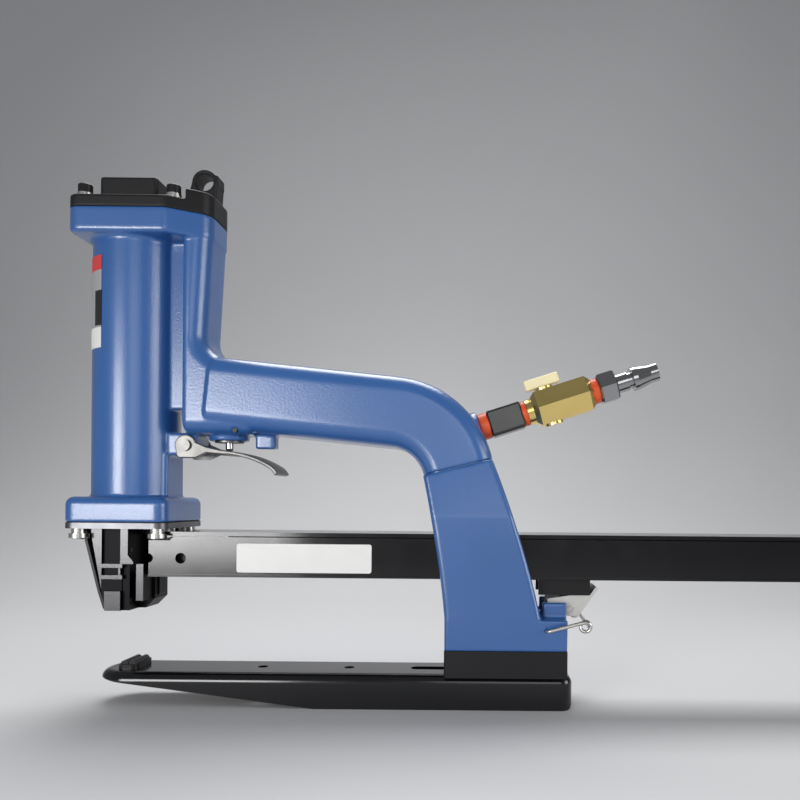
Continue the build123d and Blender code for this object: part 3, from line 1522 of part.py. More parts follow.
# Nose guides in front of and behind the driver blade
guide_face = slot_width / 2
rear_plate_t = nose_side_rear - guide_face
nose_screw_levels = (nose_screw_low, nose_screw_high)
nose_screw_seat = nose_front_tip - nose_screw_sink
with BuildPart() as nose_front_guide:
    with BuildSketch(head_side):
        with BuildLine():
            Polyline(
                (-guide_face, nose_z),
                (-nose_front_tip, nose_z),
                (-nose_front_tip - nose_tip_step, nose_z + nose_tip_rise),
                (-nose_front_top, plate_z),
                (-guide_face, plate_z),
                close=True,
            )
        make_face()
    extrude(amount=nose_half, both=True)
    with BuildSketch(head.offset(plate_z)):
        with Locations((-nose_front_top + spring_foot, 0)):
            Rectangle(
                2 * spring_foot,
                spring_plate_width + 2 * locate_gap,
                align=(Align.MAX, Align.CENTER),
            )
    extrude(amount=-spring_plate_t - locate_gap, mode=Mode.SUBTRACT)
    for level in nose_screw_levels:
        with Locations((head_x - guide_face, 0, level)):
            with GridLocations(1, 2 * nose_screw_y, 1, 2):
                Cylinder(
                    nose_screw_r + locate_gap,
                    4 * nose_front_top,
                    rotation=(0, 90, 0),
                    mode=Mode.SUBTRACT,
                )
        with Locations((head_x - nose_screw_seat, 0, level)):
            with GridLocations(1, 2 * nose_screw_y, 1, 2):
                Cylinder(
                    nose_screw_head_r + screw_gap,
                    nose_front_top,
                    rotation=(0, 90, 0),
                    align=(Align.CENTER, Align.CENTER, Align.MAX),
                    mode=Mode.SUBTRACT,
                )
    with BuildSketch(head.offset(plate_z)):
        with Locations((-plate_screw_x, 0)):
            with GridLocations(1, 2 * nose_screw_y, 1, 2):
                Circle(plate_screw_r + locate_gap)
    extrude(amount=-plate_screw_depth, mode=Mode.SUBTRACT)
    # Room for the heads of the base screws
    with BuildSketch(head.offset(plate_z)):
        with GridLocations(2 * base_screw_x, 2 * base_screw_y, 2, 2):
            Circle(base_head_r + screw_head_gap)
    extrude(amount=-base_collar_h - base_head_h - screw_head_gap, mode=Mode.SUBTRACT)

guide_window = magazine_width - 2 * magazine_wall
shelf_top = magazine_z - slide_gap
guide_back = magazine_front - slide_gap
with BuildPart() as nose_rear_guide:
    # Plate behind the blade, as wide as the nose
    with BuildSketch(head_side):
        with Locations((guide_face, nose_z)):
            Rectangle(rear_plate_t, plate_z - nose_z, align=(Align.MIN, Align.MIN))
    extrude(amount=nose_half, both=True)
    # Narrow body behind the plate
    with BuildSketch(head_side):
        with BuildLine():
            Polyline(
                (guide_face, nose_z),
                (nose_rear_tip, nose_z),
                (guide_back, nose_z + nose_rear_rise),
                (guide_back, plate_z),
                (guide_face, plate_z),
                close=True,
            )
        make_face()
    extrude(amount=nose_body_width / 2, both=True)
    # Keel under the front of the magazine
    with BuildSketch(head_side) as keel:
        with BuildLine():
            Polyline(
                (nose_rear_tip, shelf_top),
                (nose_rear_tip, shelf_top - nose_keel_h),
                (nose_keel_end - nose_keel_chamfer, shelf_top - nose_keel_h),
                (nose_keel_end, shelf_top - nose_keel_h + nose_keel_chamfer),
                (nose_keel_end, shelf_top),
                close=True,
            )
        make_face()
    extrude(amount=nose_keel_width / 2, both=True)
    # Raised bar that reaches out on the operator's side only
    with BuildSketch(head_side):
        with Locations((nose_bar_x, nose_bar_low)):
            Rectangle(nose_bar_width, nose_bar_high - nose_bar_low, align=(Align.MIN, Align.MIN))
    extrude(amount=nose_half + nose_rib_t)
    # Window through which the staples reach the blade
    with BuildSketch(Plane.YZ.offset(head_x)):
        with Locations((0, channel_floor)):
            Rectangle(guide_window, rail_z - channel_floor, align=(Align.CENTER, Align.MIN))
    extrude(amount=magazine_front, mode=Mode.SUBTRACT)
    for level in nose_screw_levels:
        with Locations((head_x + guide_face, 0, level)):
            with GridLocations(1, 2 * nose_screw_y, 1, 2):
                Cylinder(
                    nose_screw_r + locate_gap,
                    rear_plate_t + tap_run,
                    rotation=(0, 90, 0),
                    align=(Align.CENTER, Align.CENTER, Align.MIN),
                    mode=Mode.SUBTRACT,
                )
    with BuildSketch(head.offset(plate_z)):
        with Locations((plate_screw_rear_x, 0)):
            with GridLocations(1, 2 * plate_screw_rear_y, 1, 2):
                Circle(plate_screw_r + locate_gap)
    extrude(amount=-plate_screw_depth, mode=Mode.SUBTRACT)

nose_screw = cap_screw(
    nose_screw_r,
    nose_screw_seat + guide_face + rear_plate_t - nose_screw_spare,
    nose_screw_head_r,
    nose_screw_head_r,
)
nose_screw_spots = [
    Location((head_x - nose_screw_seat, side * nose_screw_y, level), (0, -90, 0))
    for level in nose_screw_levels
    for side in (1, -1)
]
with BuildPart() as nose_screws:
    with Locations(*nose_screw_spots):
        add(nose_screw)

plate_screw = flat_screw(plate_screw_r, plate_t + plate_screw_depth - tap_run, plate_screw_head_r)
with BuildPart() as plate_screws:
    with Locations((head_x, 0, plate_z + plate_t)):
        with Locations(*plate_screw_points):
            add(plate_screw)

# Ribbed side plates that cap the blade slot, one on each side
side_left, side_right = -nose_side_front, nose_side_rear
panel_right = guide_face
tip_left = side_left + nose_tip_step
ledge_z = nose_z + nose_ledge_rise
pad_top = nose_z + nose_tip_rise
with BuildPart() as nose_side_plates:
    with BuildSketch(head_side.offset(nose_half)):
        with BuildLine():
            Polyline(
                (tip_left, nose_z),
                (panel_right, nose_z),
                (panel_right, ledge_z),
                (side_right, ledge_z),
                (side_right, plate_z),
                (side_left, plate_z),
                (side_left, pad_top),
                close=True,
            )
        make_face()
    extrude(amount=nose_panel_t)
    with BuildSketch(head_side.offset(nose_half)):
        # Stile with a wedge at its foot
        with BuildLine():
            Polyline(
                (panel_right, plate_z),
                (panel_right, ledge_z),
                (nose_wedge_x, ledge_z),
                (nose_wedge_x, ledge_z + nose_rib_t),
                (side_right, ledge_z + nose_wedge_rise),
                (side_right, plate_z),
                close=True,
            )
        make_face()
        # Front stile
        with Locations((side_left, plate_z)):
            Rectangle(nose_rib_t, plate_z - ledge_z + nose_stile_drop, align=(Align.MIN, Align.MAX))
        # Two ledges, joined by a short stile, and the square tip
        with Locations((side_left, ledge_z), (side_left, ledge_z - nose_ledge_pitch)):
            Rectangle(panel_right + nose_rib_t - side_left, nose_ledge_t, align=(Align.MIN, Align.MAX))
        with Locations((panel_right, ledge_z)):
            Rectangle(nose_rib_t, nose_ledge_pitch, align=(Align.MAX, Align.MAX))
        with Locations((tip_left, nose_z)):
            Rectangle(panel_right - tip_left, pad_top - nose_z, align=(Align.MIN, Align.MIN))
    extrude(amount=nose_side_t)
    mirror(about=Plane.XZ)

# Front spring plate: a thin strip that leans against the nose tip
strip_top = (-nose_front_top - spring_stand, plate_z)
strip_bend = (-nose_front_tip - spring_bend_stand, nose_z + spring_bend_rise)
strip_foot = (-nose_front_tip - spring_tip_stand, nose_z + spring_tip_rise)
with BuildPart() as nose_spring_plate:
    with BuildSketch(head_side):
        with BuildLine():
            FilletPolyline(strip_top, strip_bend, strip_foot, radius=spring_bend_r)
        trace(line_width=spring_plate_t)
        with Locations((-nose_front_top, plate_z)):
            Rectangle(
                4 * nose_front_top,
                4 * spring_plate_t,
                align=(Align.CENTER, Align.MIN),
                mode=Mode.SUBTRACT,
            )
        with Locations((-nose_front_top - spring_stand, plate_z)):
            Rectangle(spring_stand + spring_foot - locate_gap, spring_plate_t, align=(Align.MIN, Align.MAX))
    extrude(amount=spring_plate_width / 2, both=True)

# Fixed top rail of the magazine and its screws, with its front corners cut back from the base screws
rail_screw_cone = rail_screw_head_r - rail_screw_r
rail_screw_places = [(head_x + rail_screw_head_x, rail_screw_bite), (rail_screw_leg_x, rail_screw_leg_bite)]
with BuildPart() as magazine_top_rail:
    with BuildSketch(Plane.XY.offset(rail_z)):
        with Locations(((magazine_x + magazine_end) / 2, 0)):
            Rectangle(magazine_length, magazine_width)
        for screw_x, _ in rail_screw_places:
            with Locations((screw_x, 0)):
                with GridLocations(1, 2 * rail_screw_y, 1, 2):
                    Circle(rail_screw_r + locate_gap, mode=Mode.SUBTRACT)
    extrude(amount=rail_t)
    with BuildSketch(head.offset(rail_z)):
        for side, align_y in ((1, Align.MIN), (-1, Align.MAX)):
            with Locations((0, side * notch_y)):
                Rectangle(notch_end, magazine_width, align=(Align.MIN, align_y))
    extrude(amount=rail_t, mode=Mode.SUBTRACT)
    for screw_x, _ in rail_screw_places:
        with Locations((screw_x, 0, rail_z)):
            with GridLocations(1, 2 * rail_screw_y, 1, 2):
                Cone(
                    rail_screw_head_r + locate_gap,
                    rail_screw_r + locate_gap,
                    rail_screw_cone,
                    align=(Align.CENTER, Align.CENTER, Align.MIN),
                    mode=Mode.SUBTRACT,
                )

front_rail_screw = flat_screw(rail_screw_r, rail_t + rail_gap + rail_screw_bite, rail_screw_head_r)
rear_rail_screw = flat_screw(rail_screw_r, rail_t + rail_screw_leg_bite, rail_screw_head_r)
with BuildPart() as rail_screws:
    for (screw_x, _), screw in zip(rail_screw_places, (front_rail_screw, rear_rail_screw)):
        with Locations(Location((screw_x, 0, rail_z), (180, 0, 0))):
            with GridLocations(1, 2 * rail_screw_y, 1, 2):
                add(screw)

# Magazine channel: floor, two walls and a small lip at the foot of each wall
channel_plane = Plane.YZ.offset(magazine_x)
with BuildPart() as magazine_channel:
    with BuildSketch(channel_plane):
        with Locations((0, magazine_z)):
            Rectangle(magazine_width, channel_top - magazine_z, align=(Align.CENTER, Align.MIN))
            Rectangle(magazine_width + 2 * magazine_lip, magazine_wall, align=(Align.CENTER, Align.MIN))
        with Locations((0, channel_floor)):
            Rectangle(guide_window, magazine_height, align=(Align.CENTER, Align.MIN), mode=Mode.SUBTRACT)
    extrude(amount=magazine_length)
    with BuildSketch(head_side):
        with Locations((magazine_hole_x, magazine_hole_z)):
            Circle(magazine_hole_r)
        with Locations((magazine_front, magazine_hole_z)):
            Circle(magazine_notch_r)
        with Locations((0, notch_z)):
            Rectangle(notch_end, magazine_height, align=(Align.MIN, Align.MIN))
    extrude(amount=magazine_width, both=True, mode=Mode.SUBTRACT)

# Core that the staples straddle
core_end = magazine_end - end_cap_t
with BuildPart() as magazine_core:
    with BuildSketch(channel_plane):
        with Locations((0, channel_floor)):
            Rectangle(core_width, core_top - channel_floor, align=(Align.CENTER, Align.MIN))
            Rectangle(
                core_width - 2 * core_wall,
                core_top - core_wall - channel_floor,
                align=(Align.CENTER, Align.MIN),
                mode=Mode.SUBTRACT,
            )
    extrude(amount=magazine_length - end_cap_t)
    with BuildSketch(Plane.XY.offset(core_top)):
        with Locations(((magazine_x + core_end) / 2, 0)):
            Rectangle(core_end - magazine_x - 2 * core_bridge, core_slot_width)
    extrude(amount=-2 * core_wall, mode=Mode.SUBTRACT)

# End cap that closes the channel's rear
with BuildPart() as magazine_end_cap:
    with BuildSketch(Plane.YZ.offset(core_end)):
        with Locations((0, channel_floor)):
            Rectangle(
                guide_window - 2 * locate_gap,
                channel_top - channel_floor,
                align=(Align.CENTER, Align.MIN),
            )
    extrude(amount=end_cap_t)

# Blank label plate on the near wall
with BuildPart() as label_plate:
    with BuildSketch(head_side.offset(magazine_width / 2)):
        with Locations((label_start + label_length / 2, magazine_z + label_lift + label_height / 2)):
            RectangleRounded(label_length, label_height, label_corner_r)
    extrude(amount=label_t)

# Staple pusher, with the spring rolls it carries inside the core
pusher_half = guide_window / 2 - slide_gap
pusher_top = rail_z - slide_gap / 2
pusher_x = magazine_x + pusher_start
pusher_plane = Plane.YZ.offset(pusher_x)
roll_z = core_top - core_wall - roll_r - slide_gap
roll_x = pusher_x + pusher_length / 2
tongue_floor = roll_z - roll_core_r - tongue_wall
roll_inner = pusher_tongue / 2 + locate_gap
with BuildPart() as staple_pusher:
    with BuildSketch(pusher_plane):
        with Locations((0, pusher_top)):
            Rectangle(2 * pusher_half, pusher_skirt, align=(Align.CENTER, Align.MAX))
        with Locations((0, core_top + slide_gap)):
            Rectangle(
                core_width + 2 * slide_gap,
                pusher_skirt,
                align=(Align.CENTER, Align.MAX),
                mode=Mode.SUBTRACT,
            )
        with Locations((0, pusher_top)):
            Rectangle(pusher_tongue, pusher_top - tongue_floor, align=(Align.CENTER, Align.MAX))
    extrude(amount=pusher_length)
    with Locations((roll_x, 0, roll_z)):
        Cylinder(roll_core_r, 2 * (roll_inner + roll_width), rotation=(90, 0, 0))

with BuildPart() as pusher_springs:
    for side in (1, -1):
        with BuildSketch(Plane((roll_x, side * roll_inner, roll_z), z_dir=(0, side, 0))):
            Circle(roll_r)
            Circle(roll_core_r + locate_gap, mode=Mode.SUBTRACT)
        extrude(amount=roll_width)

# Latch under the magazine: welded bracket, pin and lever
latch_x = latch_front + latch_length / 2
ear_inner = latch_ear_gap / 2
ear_outer = ear_inner + latch_wall
lever_inner = ear_outer + slide_gap
lever_outer = lever_inner + latch_lever_t
latch_foot = magazine_z - latch_height
with BuildPart() as latch_bracket:
    with BuildSketch(Plane.XY.offset(magazine_z - latch_wall)):
        with Locations((latch_x, 0)):
            RectangleRounded(latch_length, latch_width, latch_corner_r)
    extrude(amount=latch_wall)
    with BuildSketch(Plane.YZ.offset(latch_front)):
        for side in (1, -1):
            with Locations((side * (latch_width / 2 - latch_wall / 2), magazine_z)):
                Rectangle(latch_wall, latch_height, align=(Align.CENTER, Align.MAX))
    extrude(amount=latch_length)
    with BuildSketch(Plane.XZ):
        with Locations((latch_pivot_x, latch_pivot_z)):
            Circle(latch_ear_r)
        with BuildLine():
            Polyline(
                (latch_pivot_x - latch_ear_r, latch_pivot_z),
                (latch_pivot_x + latch_ear_r, latch_pivot_z),
                (latch_pivot_x + 2 * latch_ear_r, magazine_z - latch_wall),
                (latch_pivot_x - 2 * latch_ear_r, magazine_z - latch_wall),
                close=True,
            )
        make_face()
    extrude(amount=ear_outer, both=True)
    with BuildSketch(Plane.XZ):
        with Locations((latch_x, magazine_z - latch_wall)):
            Rectangle(2 * latch_length, latch_pivot_z, align=(Align.CENTER, Align.MAX))
    extrude(amount=ear_inner, both=True, mode=Mode.SUBTRACT)
    with Locations((latch_pivot_x, 0, latch_pivot_z)):
        Cylinder(latch_pin_r + locate_gap, 2 * latch_width, rotation=(90, 0, 0), mode=Mode.SUBTRACT)

with BuildPart() as latch_pin:
    with Locations((latch_pivot_x, 0, latch_pivot_z)):
        Cylinder(latch_pin_r, 2 * (lever_outer + slide_gap), rotation=(90, 0, 0))

lever_toe_z = latch_pivot_z - latch_toe_drop
lever_top_z = latch_foot - slide_gap
web_foot = (latch_pivot_x + latch_web_stand, lever_toe_z)
web_head = (latch_front + latch_length + latch_web_run, lever_top_z + latch_web_run)
with BuildPart() as latch_lever:
    with BuildSketch(Plane.XZ):
        with BuildLine():
            Polyline(
                (latch_pivot_x - latch_nose_run, lever_top_z - latch_nose_drop),
                (latch_pivot_x, lever_top_z),
                (latch_front + latch_length + bury, lever_top_z),
                web_foot,
                (latch_pivot_x - latch_web_stand, lever_toe_z),
                (latch_pivot_x - latch_nose_run, latch_pivot_z + latch_nose_drop),
                close=True,
            )
        make_face()
    extrude(amount=lever_outer, both=True)
    with BuildSketch(Plane.XZ):
        with Locations((latch_pivot_x, latch_pivot_z)):
            Rectangle(4 * latch_length, 4 * latch_length)
    extrude(amount=lever_inner, both=True, mode=Mode.SUBTRACT)
    with BuildSketch(Plane.XZ):
        with BuildLine():
            Line(web_foot, web_head)
        trace(line_width=latch_web_t)
    extrude(amount=lever_outer, both=True)
    with Locations((latch_pivot_x, 0, latch_pivot_z)):
        Cylinder(latch_pin_r + run_gap, 2 * latch_width, rotation=(90, 0, 0), mode=Mode.SUBTRACT)

# Wire bail: from a socket in the foot, along the side, one coil, then across to the other side
rise = radians(bail_rise)
bail_dir = (cos(rise), 0.0, sin(rise))
bail_up = (-sin(rise), 0.0, cos(rise))
leg_y = foot_width / 2 + slide_gap + bail_bend_r


def bail_point(along, up, y):
    """Point on the bail, given along its leg, across it and in Y."""
    return (
        bail_x + along * bail_dir[0] + up * bail_up[0],
        y,
        bail_z + along * bail_dir[2] + up * bail_up[2],
    )


def bail_half(side):
    """Stops and directions of one half of the bail, from its socket to the cross wire."""
    stops = [
        (bail_point(0, 0, side * (foot_width / 2 - bail_seat)), (0, side, 0)),
        (bail_point(0, 0, side * (leg_y - bail_bend_r)), (0, side, 0)),
        (bail_point(bail_bend_r, 0, side * leg_y), bail_dir),
        (bail_point(bail_length - bail_coil_r, 0, side * leg_y), bail_dir),
    ]
    slope = -side * bail_coil_pitch / (2 * pi * bail_coil_r)
    for quarter in range(1, bail_quarters + 1):
        angle = quarter * pi / 2
        place = bail_point(
            bail_length + bail_coil_r * sin(angle),
            bail_coil_r * (cos(angle) - 1),
            side * (leg_y - bail_coil_pitch * quarter / 4),
        )
        heading = (
            cos(angle) * bail_dir[0] - sin(angle) * bail_up[0],
            slope,
            cos(angle) * bail_dir[2] - sin(angle) * bail_up[2],
        )
        stops.append((place, heading))
    cross_y = leg_y - bail_coil_pitch * bail_quarters / 4 - bail_bend_r
    cross_up = -bail_coil_r - bail_bend_r
    stops.append((bail_point(bail_length + bail_coil_r, cross_up, side * cross_y), (0, -side, 0)))
    return stops


near_half = bail_half(-1)
far_half = [(place, tuple(-part for part in heading)) for place, heading in reversed(bail_half(1))]
bail_stops = near_half + far_half
bail_path = Wire(biarc_edges([stop[0] for stop in bail_stops], [stop[1] for stop in bail_stops]))
print("bail gap between turns:", self_gap(bail_path, 2 * bail_wire_r), "mm")
with BuildPart() as latch_bail:
    with BuildSketch(Plane(near_half[0][0], z_dir=near_half[0][1])):
        Circle(bail_wire_r)
    sweep(path=bail_path)

# Air inlet along its tilted axis: seal, coupling, seal, ball valve, seal, plug
coupling_at = seal_one_t / 2
seal_two_at = coupling_at + coupling_length
valve_at = seal_two_at + seal_two_t
valve_end = valve_at + valve_length
plug_at = valve_end + seal_three_t
stem_at = valve_at + valve_stem_at


with BuildPart() as thread_seals:
    for seal_start, seal_length, outer_r in (
        (-coupling_at, seal_one_t, seal_one_r),
        (seal_two_at, seal_two_t, seal_r),
        (valve_end, seal_three_t, seal_r),
    ):
        with BuildSketch(inlet.offset(seal_start)):
            Circle(outer_r)
            Circle(pipe_r + locate_gap, mode=Mode.SUBTRACT)
        extrude(amount=seal_length)
    outer_edges = thread_seals.edges().filter_by(GeomType.CIRCLE).filter_by(lambda e: e.radius > pipe_r + 0.5)
    fillet(outer_edges, seal_edge_r)

with BuildPart() as hex_coupling:
    with BuildSketch(inlet.offset(coupling_at)):
        RectangleRounded(coupling_side, coupling_side, coupling_corner_r)
    extrude(amount=coupling_length)
    chamfer(hex_coupling.faces().filter_by(Axis((0, 0, 0), inlet_dir)).edges(), coupling_chamfer)
    for start, length in (
        (-coupling_at - pipe_bite, pipe_bite + seal_one_t),
        (seal_two_at, seal_two_t + valve_bite),
    ):
        with BuildSketch(inlet.offset(start)):
            Circle(pipe_r)
        extrude(amount=length)
    with BuildSketch(inlet.offset(-2 * pipe_bite)):
        Circle(air_bore_r)
    extrude(amount=valve_length + 2 * pipe_bite, mode=Mode.SUBTRACT)

stem_plane = Plane(inlet.from_local_coords((0, 0, stem_at)), x_dir=(0, 1, 0), z_dir=inlet.y_dir)
seat_offset = sqrt((ball_r + ball_gap) ** 2 - ball_seat_bore_r ** 2)
cavity_half = seat_offset + ball_seat_t
with BuildPart() as ball_valve_body:
    with BuildSketch(inlet.offset(valve_at + valve_throat_length)):
        RegularPolygon(valve_af / 2, hex_sides, major_radius=False)
    extrude(amount=valve_length - valve_throat_length)
    chamfer(ball_valve_body.faces().filter_by(Axis((0, 0, 0), inlet_dir)).edges(), valve_chamfer)
    with BuildSketch(inlet.offset(valve_at)):
        Circle(valve_throat_r)
    extrude(amount=valve_throat_length)
    for mouth in (valve_at, valve_end - valve_bite - locate_gap):
        with BuildSketch(inlet.offset(mouth)):
            Circle(pipe_r + locate_gap)
        extrude(amount=valve_bite + locate_gap, mode=Mode.SUBTRACT)
    with BuildSketch(inlet.offset(valve_at)):
        Circle(air_bore_r)
    extrude(amount=valve_length, mode=Mode.SUBTRACT)
    with BuildSketch(inlet.offset(stem_at - cavity_half - locate_gap)):
        Circle(ball_seat_r + locate_gap)
    extrude(amount=2 * (cavity_half + locate_gap), mode=Mode.SUBTRACT)
    with BuildSketch(stem_plane.offset(-valve_af / 2)):
        Circle(gland_r)
    extrude(amount=-gland_t)
    with BuildSketch(stem_plane.offset(valve_af / 2)):
        Circle(gland_r)
    extrude(amount=gland_t)
    with BuildSketch(stem_plane):
        Circle(ball_stem_r + run_gap)
    extrude(amount=valve_af, mode=Mode.SUBTRACT)

with BuildPart() as valve_seats:
    for seat_start in (stem_at - cavity_half, stem_at + seat_offset):
        with BuildSketch(inlet.offset(seat_start)):
            Circle(ball_seat_r)
            Circle(ball_seat_bore_r, mode=Mode.SUBTRACT)
        extrude(amount=ball_seat_t)

ball_place = inlet.from_local_coords((0, 0, stem_at))
with BuildPart() as valve_ball:
    with Locations(ball_place):
        Sphere(ball_r)
    with BuildSketch(inlet.offset(stem_at - ball_r)):
        Circle(air_bore_r)
    extrude(amount=2 * ball_r, mode=Mode.SUBTRACT)
    with BuildSketch(stem_plane.offset(ball_r - stem_key)):
        Circle(ball_r)
    extrude(amount=ball_r, mode=Mode.SUBTRACT)

stem_foot = ball_r - stem_key
gland_base = valve_af / 2
lever_base = gland_base + gland_t + lever_gap
with BuildPart() as valve_stem:
    with BuildSketch(stem_plane.offset(stem_foot)):
        Circle(ball_stem_r)
    extrude(amount=lever_base + lever_height * socket_depth_share - stem_foot)

with BuildPart() as valve_lever:
    with BuildSketch(stem_plane.offset(lever_base)):
        RectangleRounded(lever_width, lever_length, lever_corner_r)
    extrude(amount=lever_height)
    chamfer(valve_lever.faces().filter_by(Axis((0, 0, 0), tuple(inlet.y_dir))).edges(), lever_chamfer)
    with BuildSketch(stem_plane.offset(lever_base)):
        Circle(ball_stem_r + locate_gap)
    extrude(amount=lever_height * socket_depth_share + locate_gap, mode=Mode.SUBTRACT)

neck_at = plug_at + plug_hex_length
groove_at = neck_at + plug_neck_length
collar_at = groove_at + plug_groove_length
taper_at = collar_at + plug_collar_length
with BuildPart() as air_plug:
    with BuildSketch(inlet.offset(plug_at)):
        RegularPolygon(plug_af / 2, hex_sides, major_radius=False)
    extrude(amount=plug_hex_length)
    chamfer(air_plug.faces().filter_by(Axis((0, 0, 0), inlet_dir)).edges(), plug_chamfer)
    for start, length, radius in (
        (valve_end - valve_bite, valve_bite + seal_three_t, pipe_r),
        (neck_at, plug_neck_length, plug_neck_r),
        (groove_at, plug_groove_length, plug_groove_r),
        (collar_at, plug_collar_length, plug_collar_r),
    ):
        with BuildSketch(inlet.offset(start)):
            Circle(radius)
        extrude(amount=length)
    with BuildSketch(inlet.offset(taper_at)):
        Circle(plug_collar_r)
    with BuildSketch(inlet.offset(taper_at + plug_tip_length)):
        Circle(plug_tip_r)
    loft()
    with BuildSketch(inlet.offset(taper_at + plug_tip_length)):
        Circle(plug_tip_r)
    extrude(amount=plug_end_length)
    with BuildSketch(inlet.offset(valve_end - 2 * valve_bite)):
        Circle(plug_bore_r)
    extrude(amount=reach, mode=Mode.SUBTRACT)

# Every piece under its own name
pieces = {
    "body_casting": body_casting,
    "barrel_label": barrel_label,
    "cylinder_sleeve": cylinder_sleeve,
    "sleeve_seals": sleeve_seals,
    "bumper": bumper,
    "drive_piston": drive_piston,
    "piston_seal": piston_seal,
    "driver_blade": driver_blade,
    "blade_pin": blade_pin,
    "head_valve": head_valve,
    "head_valve_seal": head_valve_seal,
    "head_valve_spring": head_valve_spring,
    "cap_gasket": cap_gasket,
    "top_cap": top_cap,
    "cap_washers": cap_washers,
    "cap_spring_washers": cap_spring_washers,
    "cap_screws": cap_screws,
    "base_gasket": base_gasket,
    "base_plate": base_plate,
    "base_screws": base_screws,
    "trigger": trigger,
    "trigger_pin": trigger_pin,
    "trigger_valve_body": trigger_valve_body,
    "trigger_valve_seals": trigger_valve_seals,
    "trigger_valve_stem": trigger_valve_stem,
    "trigger_valve_spring": trigger_valve_spring,
    "valve_retaining_pin": valve_retaining_pin,
    "nose_front_guide": nose_front_guide,
    "nose_rear_guide": nose_rear_guide,
    "nose_side_plates": nose_side_plates,
    "nose_spring_plate": nose_spring_plate,
    "nose_screws": nose_screws,
    "plate_screws": plate_screws,
    "magazine_top_rail": magazine_top_rail,
    "rail_screws": rail_screws,
    "magazine_channel": magazine_channel,
    "magazine_core": magazine_core,
    "magazine_end_cap": magazine_end_cap,
    "label_plate": label_plate,
    "staple_pusher": staple_pusher,
    "pusher_springs": pusher_springs,
    "latch_bracket": latch_bracket,
    "latch_pin": latch_pin,
    "latch_lever": latch_lever,
    "latch_bail": latch_bail,
    "leg_casting": leg_casting,
    "leg_gasket": leg_gasket,
    "leg_screws": leg_screws,
    "spacer_block": spacer_block,
    "lower_arm": lower_arm,
    "arm_bolts": arm_bolts,
    "anvil": anvil,
    "hex_coupling": hex_coupling,
    "thread_seals": thread_seals,
    "ball_valve_body": ball_valve_body,
    "valve_seats": valve_seats,
    "valve_ball": valve_ball,
    "valve_stem": valve_stem,
    "valve_lever": valve_lever,
    "air_plug": air_plug,
}
for name, piece in pieces.items():
    piece.part.label = name
    export_step(piece.part, f"parts/{name}.step")
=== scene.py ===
import json
import math

import bpy
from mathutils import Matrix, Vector


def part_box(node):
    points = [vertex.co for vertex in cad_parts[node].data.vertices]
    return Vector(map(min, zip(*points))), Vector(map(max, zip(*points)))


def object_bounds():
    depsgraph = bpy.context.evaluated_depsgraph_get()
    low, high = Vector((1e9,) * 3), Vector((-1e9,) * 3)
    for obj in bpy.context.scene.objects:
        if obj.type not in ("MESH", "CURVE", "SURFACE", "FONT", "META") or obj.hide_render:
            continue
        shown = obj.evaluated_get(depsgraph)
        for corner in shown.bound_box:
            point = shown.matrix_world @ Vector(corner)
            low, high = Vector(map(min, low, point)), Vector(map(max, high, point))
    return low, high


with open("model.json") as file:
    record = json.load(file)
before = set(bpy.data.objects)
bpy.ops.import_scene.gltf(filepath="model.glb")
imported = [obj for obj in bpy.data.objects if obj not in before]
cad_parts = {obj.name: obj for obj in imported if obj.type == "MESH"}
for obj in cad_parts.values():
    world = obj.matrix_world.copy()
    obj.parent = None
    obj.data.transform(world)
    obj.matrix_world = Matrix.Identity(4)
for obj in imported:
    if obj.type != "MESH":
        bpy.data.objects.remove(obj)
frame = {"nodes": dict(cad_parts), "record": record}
cad_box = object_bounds()
nodes = frame["nodes"]

# Camera of the photograph, which is 800 pixels square: it looks straight at the tool's side, with a slight
# roll; places are in metres
image_px = 800
focal_px = 743
vanish_x_px = 490
vanish_y_px = 500
sensor_mm = 36.0
camera_place = (-0.0105, -0.483, 0.131)
camera_roll_deg = 0.5
camera_near = 0.01

# Colours of the finishes, linear
blue = (0.026, 0.108, 0.330)
black = (0.009, 0.009, 0.010)
gloss_black = (0.004, 0.004, 0.005)
zinc = (0.62, 0.61, 0.58)
chrome = (0.36, 0.36, 0.37)
satin = (0.60, 0.59, 0.57)
dull_plate = (0.24, 0.235, 0.225)
brass = (0.86, 0.66, 0.24)
cream = (0.90, 0.80, 0.48)
red_orange = (0.72, 0.09, 0.02)
label_red = (0.60, 0.05, 0.05)
rubber = (0.014, 0.014, 0.015)
dark_steel = (0.16, 0.16, 0.17)
bright_metal = (0.70, 0.70, 0.72)
label_white = (0.76, 0.76, 0.74)
label_grey = (0.34, 0.34, 0.35)
floor_pale = (0.72, 0.72, 0.73)
world_pale = (0.80, 0.82, 0.85)

# Surface detail: noise scales per metre, steps of noise detail, bump strengths, and bump depths in metres
shade_detail = 2.0
grain_detail = 3.0
gloss_detail = 4.0
coat_rough = 0.22
paint_wear = 0.12
paint_shade_scale = 14.0
paint_gloss_scale = 60.0
paint_gloss_swing = 0.06
paint_peel_strength = 0.35
plate_wear = 0.10
plate_shade_scale = 40.0
plate_gloss_scale = 90.0
plate_gloss_low = 0.75
plate_gloss_high = 1.3
plate_grain_scale = 500.0
plate_grain_strength = 0.25
plate_grain_depth = 0.00002
stock_shade_scale = 50.0
stock_shade_low = 0.92
stock_shade_high = 1.06
stock_gloss_scale = 120.0
stock_gloss_drop = 0.08
stock_gloss_rise = 0.06
stock_grain_scale = 900.0
stock_grain_strength = 0.2
stock_grain_depth = 0.00002

# Barrel label, white at its foot: where its other bands start and where its dark strip lies, as shares of the
# height, and the strip's inner edge in metres
grey_from = 0.22
red_from = 0.84
strip_low = 0.24
strip_high = 0.62
strip_edge_y = -0.0205
label_rough = 0.45

